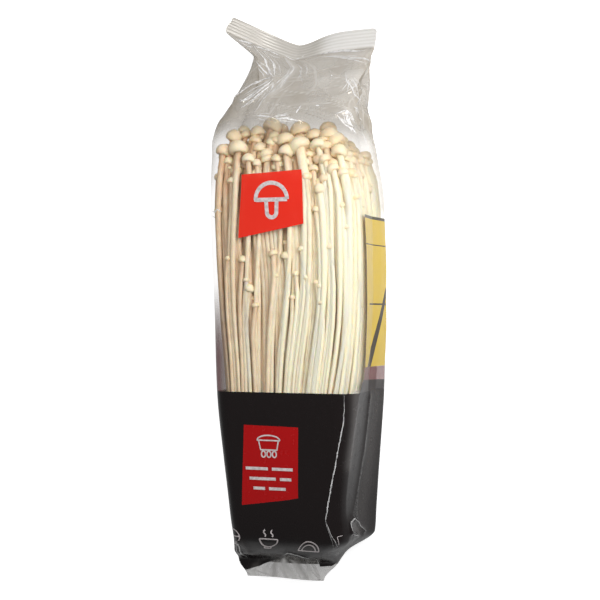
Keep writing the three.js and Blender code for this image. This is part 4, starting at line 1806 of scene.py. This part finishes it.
def finish_tree(nodes: Nodes, inside: Node, out: Node, shape: Socket, scale: float) -> Tree:
    """Ends a tree: real geometry, moved a little by a fixed noise, smooth, with its finish.

    Args:
        nodes: the tree's nodes.
        inside: its input node.
        out: its output node.
        shape: the geometry so far.
        scale: the noise's scale.

    Returns:
        The tree.
    """
    real = nodes.result("GeometryNodeRealizeInstances", {0: shape})
    place = nodes.result("GeometryNodeInputPosition", {})
    noise = nodes.result("ShaderNodeTexNoise", {"Vector": place, "Scale": scale}, "Color")
    centred = nodes.vector("SUBTRACT", noise, (0.5, 0.5, 0.5))
    both = {0: centred, "Scale": inside.outputs["Unevenness"]}
    shift = nodes.result("ShaderNodeVectorMath", both, operation="SCALE")
    moved = nodes.result("GeometryNodeSetPosition", {"Geometry": real, "Offset": shift})
    soft = nodes.result("GeometryNodeSetShadeSmooth", {0: moved})
    both = {"Geometry": soft, "Material": inside.outputs["Finish"]}
    nodes.feed(out.inputs[0], nodes.result("GeometryNodeSetMaterial", both))
    return nodes.tree


def grown(name: str, mesh: Mesh, tree: Tree, values: dict[str, object]) -> Object:
    """Runs a Geometry Nodes tree on a mesh and keeps the plain result as a piece.

    Args:
        name: the piece's name.
        mesh: the mesh that the tree starts from.
        tree: the tree.
        values: its inputs by name.

    Returns:
        The dressed piece.
    """
    start = placed(f"{name}_start", mesh)
    modifier = start.modifiers.new("grow", "NODES")
    modifier.node_group = tree
    sockets = {s.name: s.identifier for s in tree.interface.items_tree if s.in_out == "INPUT"}
    for key, value in values.items():
        modifier[sockets[key]] = value
    seen = start.evaluated_get(bpy.context.evaluated_depsgraph_get())
    result = bpy.data.meshes.new_from_object(seen)
    result.name = name
    start.modifiers.remove(modifier)
    bpy.data.objects.remove(start)
    piece = placed(name, result)
    dress(piece, Slot.FLESH, "enoki_bunch")
    return piece


# Strips on the film: painted highlights along the sharpest creases, and the generic outline pictures


@dataclass
class Ribbons:
    """Narrow strips that lie on the film along strokes."""

    film: FilmBag
    piece: Piece
    slot: Slot
    lift: float = 0.14
    step: float = 0.35
    tapered: bool = False
    wobble: float = 0.0
    wide: float = 1.0
    seed: int = 8

    def build(self, strokes: list[Stroke], material: Material) -> Object:
        """Lays all strokes on the film.

        Args:
            strokes: the strokes.
            material: their material.

        Returns:
            The dressed piece.
        """
        draw = np.random.default_rng(self.seed)
        places, faces, gleams = [], [], []
        first = 0
        for stroke in strokes:
            line = self.evened(np.array(stroke.places))
            t = np.linspace(0, 1, len(line))
            across = np.gradient(line, axis=0)
            across = np.stack([-across[:, 1], across[:, 0]], axis=1)
            across /= np.maximum(np.linalg.norm(across, axis=1, keepdims=True), 1e-6)
            half = np.full(len(line), stroke.width * self.wide / 2)
            if self.tapered:
                half *= np.clip(np.minimum(t, 1 - t) * 5, 0.15, 1) * draw.uniform(0.5, 1.2, len(line))
                drift = np.cumsum(draw.normal(0, self.wobble, len(line)))
                line = line + across * (drift - drift.mean())[:, None]
            reach = across * half[:, None]
            pair = np.stack([line + reach, line - reach], axis=1).reshape(-1, 2)
            places.append(self.film.surface(pair[:, 0], pair[:, 1], self.lift))
            corners = range(first, first + len(pair) - 2, 2)
            faces += [(k, k + 1, k + 3, k + 2) for k in corners]
            gleams.append(np.full(len(pair), stroke.gleam))
            first += len(pair)
        mesh = bpy.data.meshes.new(self.piece.value)
        mesh.from_pydata((np.concatenate(places) * MM).tolist(), [], faces)
        mesh.update()
        set_values(mesh, "gleam", np.concatenate(gleams))
        piece = placed(self.piece.value, mesh)
        mesh.materials.append(material)
        dress(piece, self.slot)
        return piece

    def evened(self, line: np.ndarray) -> np.ndarray:
        """Spreads points evenly along a line.

        Args:
            line: its corners.

        Returns:
            Points about a step apart.
        """
        way = np.concatenate([[0], np.cumsum(np.linalg.norm(np.diff(line, axis=0), axis=1))])
        at = np.linspace(0, way[-1], max(3, round(way[-1] / self.step)))
        return np.stack([np.interp(at, way, line[:, 0]), np.interp(at, way, line[:, 1])], axis=1)


def echoes(creases: tuple[Stroke, ...], low: float, seed: int = 3) -> list[Stroke]:
    """Adds fainter, shorter painted highlights beside the strong creases.

    Args:
        creases: the creases.
        low: only those above this height get echoes.
        seed: seed of the differences.

    Returns:
        The echoes.
    """
    draw = random.Random(seed)
    found = []
    for crease in creases:
        start, end = np.array(crease.places[0]), np.array(crease.places[-1])
        length = float(np.linalg.norm(end - start))
        if start[1] < low or length < 4:
            continue
        across = np.array([start[1] - end[1], end[0] - start[0]]) / length
        for side in (-1, 1):
            off = across * side * draw.uniform(0.5, 1.5)
            a, b = draw.uniform(0.05, 0.3), draw.uniform(0.6, 0.9)
            bend = across * draw.uniform(-0.5, 0.5)
            places = [start + (end - start) * t + off * (0.4 + t) for t in (a, (a + b) / 2, b)]
            places[1] = places[1] + bend
            found.append(Stroke(tuple(tuple(p) for p in places), 0.26, 0.0, 0.6))
    return found


@dataclass
class PrintedOutlines:
    """Generic outline pictures in pale ink: a mushroom, a pot over bars, a bowl, a dome and a ring."""

    faint: float = 0.22
    thin: float = 0.5
    bar: float = 1.1
    thick: float = 1.5
    slant: float = 0.36
    # Each row of bars under the pot: its height, and where each bar starts and ends
    bars: tuple[tuple[float, Line], ...] = (
        (-62.1, ((-15.4, -6.6), (-5.0, 3.8))),
        (-65.8, ((-14.0, -3.6), (-2.0, 3.0))),
        (-69.4, ((-12.6, -8.0), (-6.4, 0.2))),
    )

    @staticmethod
    def arc(x: float, y: float, r: float, start: float, end: float, squash: float = 1.0) -> Line:
        """Returns points along part of a circle, with angles in degrees and its height squashed."""
        angles = np.radians(np.linspace(start, end, 25))
        return tuple((x + r * math.cos(a), y + squash * r * math.sin(a)) for a in angles)

    def mushroom(self, x: float, y: float, size: float) -> list[Line]:
        """Draws a mushroom's outline.

        Args:
            x: the middle of the cap's lower edge, round the bag.
            y: its height.
            size: the cap's radius.

        Returns:
            The lines.
        """
        cap = self.arc(x, y, size, 0, 180) + ((x + size, y),)
        foot = ((x - 0.34 * size, y), (x - 0.3 * size, y - 0.7 * size))
        foot += self.arc(x, y - 0.75 * size, 0.3 * size, 180, 360) + ((x + 0.34 * size, y),)
        return [cap, foot]

    def pot(self, x: float, y: float, size: float) -> list[Line]:
        """Draws a lidded pot with three rings of heat under it.

        Args:
            x: its middle, round the bag.
            y: the height of its rim.
            size: half its width.

        Returns:
            The lines.
        """
        low, foot = y - 0.9 * size, 0.82 * size
        body = ((x - size, y), (x - foot, low), (x + foot, low), (x + size, y))
        lid = self.arc(x, y, 1.15 * size, 0, 180, 0.42) + ((x + 1.15 * size, y),)
        rings = [self.arc(x + n * 0.55 * size, y - 1.3 * size, 0.2 * size, 0, 360, 1.5) for n in (-1, 0, 1)]
        return [body, lid, *rings]

    def bowl(self, x: float, y: float, size: float) -> list[Line]:
        """Draws a footed bowl with two curls of steam.

        Args:
            x: its middle, round the bag.
            y: the height of its rim.
            size: half its width.

        Returns:
            The lines.
        """
        cup = self.arc(x, y, size, 180, 360, 0.95) + ((x - size, y),)
        foot = ((x - 0.35 * size, y - 0.95 * size), (x - 0.35 * size, y - 1.15 * size),
                (x + 0.35 * size, y - 1.15 * size), (x + 0.35 * size, y - 0.95 * size))
        steam = []
        for n in (-0.4, 0.4):
            t = np.linspace(0, 1, 13)
            curl = ((n + 0.1 * math.sin(7 * k), 0.25 + 0.75 * k) for k in t)
            steam.append(tuple((x + across * size, y + up * size) for across, up in curl))
        return [cup, foot, *steam]

    def upright(self, lines: list[Line], y: float) -> list[Line]:
        """Slants lines below a height, so that they stand upright where the film draws together.

        Args:
            lines: the lines.
            y: the height.

        Returns:
            The slanted lines.
        """
        return [tuple((a - self.slant * min(0.0, b - y), b) for a, b in line) for line in lines]

    def strokes(self) -> list[Stroke]:
        """Lists every line with its width.

        Returns:
            The strokes.
        """
        dome = self.arc(9.6, -93.0, 4.6, 0, 180, 0.95) + ((14.2, -93.0),)
        inner = self.arc(9.6, -93.0, 3.1, 0, 180, 0.95)
        ring = self.arc(-23.0, -89.2, 3.5, -90, 90)
        band = ((-23.0, -88.4), (-19.7, -88.4))
        steaming = self.upright(self.bowl(-7.9, -88.6, 3.6), -89.0)
        low = [*steaming, *self.upright([dome, inner], -88.6), ring, band]
        faint = ((23.0, -89.6), (22.8, -86.4), (25.0, -86.0))
        label = self.pot(-6.0, -51.6, 3.9)
        big = self.mushroom(-3.0, 36.6, 6.2)
        bars = [((a, y), (b, y)) for y, spans in self.bars for a, b in spans]
        inked = ((self.faint, [faint]), (self.thin, label + low), (self.bar, bars), (self.thick, big))
        return [Stroke(line, width) for width, lines in inked for line in lines]


# The studio


@dataclass(frozen=True)
class Lamp:
    """A square soft light that faces the object: its place and side in metres, and its power in watts."""

    name: str
    place: tuple[float, float, float]
    side: float
    power: float


@dataclass
class Studio:
    """A pale floor, soft lights and a camera at the photograph's angle."""

    aim: tuple[float, float, float] = (1.0, 0.0, 20.0)
    distance: float = 500.0
    lens: float = 79.0
    side_angle: float = 20.0
    low_angle: float = 0.5
    floor_half: float = 2.0
    floor_z: float = -0.0002
    floor_glow: float = 0.8
    world_light: float = 0.25
    lamps: tuple[Lamp, ...] = (
        Lamp("key", (0.17, 0.08, 0.19), 0.15, 0.47),
        Lamp("over", (0.2, 0.5, 1.3), 0.7, 3.5),
        Lamp("top", (-0.15, 1.1, 1.0), 0.2, 2.4),
    )

    def build(self) -> None:
        """Builds the floor, the lights and the camera."""
        self.build_floor()
        self.build_camera()
        world = bpy.data.worlds.new("studio")
        world.use_nodes = True
        sky = {"Color": (1.0, 1.0, 1.0, 1.0), "Strength": self.world_light}
        Nodes(world.node_tree).fill(world.node_tree.nodes["Background"], sky)
        bpy.context.scene.world = world
        for lamp in self.lamps:
            self.hang(lamp)
        bpy.context.scene.view_settings.view_transform = "Standard"

    def build_floor(self) -> None:
        """Lays the pale floor."""
        mesh = bpy.data.meshes.new("floor")
        half, z = self.floor_half, self.floor_z
        corners = [(-half, -half, z), (half, -half, z), (half, half, z), (-half, half, z)]
        mesh.from_pydata(corners, [], [(0, 1, 2, 3)])
        floor = placed("floor", mesh)
        material, nodes, shader = new_material("pale_floor")
        seen = nodes.result("ShaderNodeLightPath", {}, "Is Camera Ray")
        nodes.fill(shader, {
            "Base Color": (0.8, 0.8, 0.8, 1.0),
            "Roughness": 0.9,
            "Emission Color": (1.0, 1.0, 1.0, 1.0),
            "Emission Strength": nodes.math("MULTIPLY", seen, self.floor_glow),
        })
        mesh.materials.append(material)

    def build_camera(self) -> None:
        """Sets the camera."""
        side, low = math.radians(self.side_angle), math.radians(self.low_angle)
        away = Vector((math.sin(side) * math.cos(low), -math.sin(low), math.cos(side) * math.cos(low)))
        aim = Vector(self.aim) * MM
        right = Vector((0, 1, 0)).cross(away).normalized()
        up = away.cross(right)
        camera = bpy.data.cameras.new("camera")
        camera.lens = self.lens
        camera.clip_start = 0.01
        holder = placed("camera", camera)
        facing = Matrix((right, up, away)).transposed().to_4x4()
        holder.matrix_world = Matrix.Translation(aim + away * self.distance * MM) @ facing
        bpy.context.scene.camera = holder

    @staticmethod
    def hang(lamp: Lamp) -> None:
        """Hangs a lamp.

        Args:
            lamp: the lamp.
        """
        light = bpy.data.lights.new(lamp.name, "AREA")
        light.size = lamp.side
        light.energy = lamp.power
        facing = Vector(lamp.place).to_track_quat("Z", "Y").to_matrix().to_4x4()
        placed(lamp.name, light).matrix_world = Matrix.Translation(lamp.place) @ facing


def main() -> None:
    """Builds the studio, the bunch and the bag."""
    logging.basicConfig(level=logging.INFO, format="%(name)s: %(message)s")
    Studio().build()
    form = BagForm()
    effects = SharedEffects()
    pieces = Bunch(form, effects).build()
    film = FilmBag(form, effects)
    pieces += film.build()
    outlines = Ribbons(film, Piece.OUTLINES, Slot.BLACK)
    pieces.append(outlines.build(PrintedOutlines().strokes(), InkFinish().material()))
    # The crease strips are painted highlights: white glints along the folds.
    creases = Ribbons(film, Piece.CREASE_GLINTS, Slot.CLEAR, 0.12, tapered=True, wobble=0.04, wide=1.25)
    lines = [*film.creases, *echoes(film.creases, film.neck_in[0])]
    pieces.append(creases.build(lines, CreaseGlintFinish().material()))
    log.info("%d pieces", len(pieces))


if __name__ == "__main__":
    main()
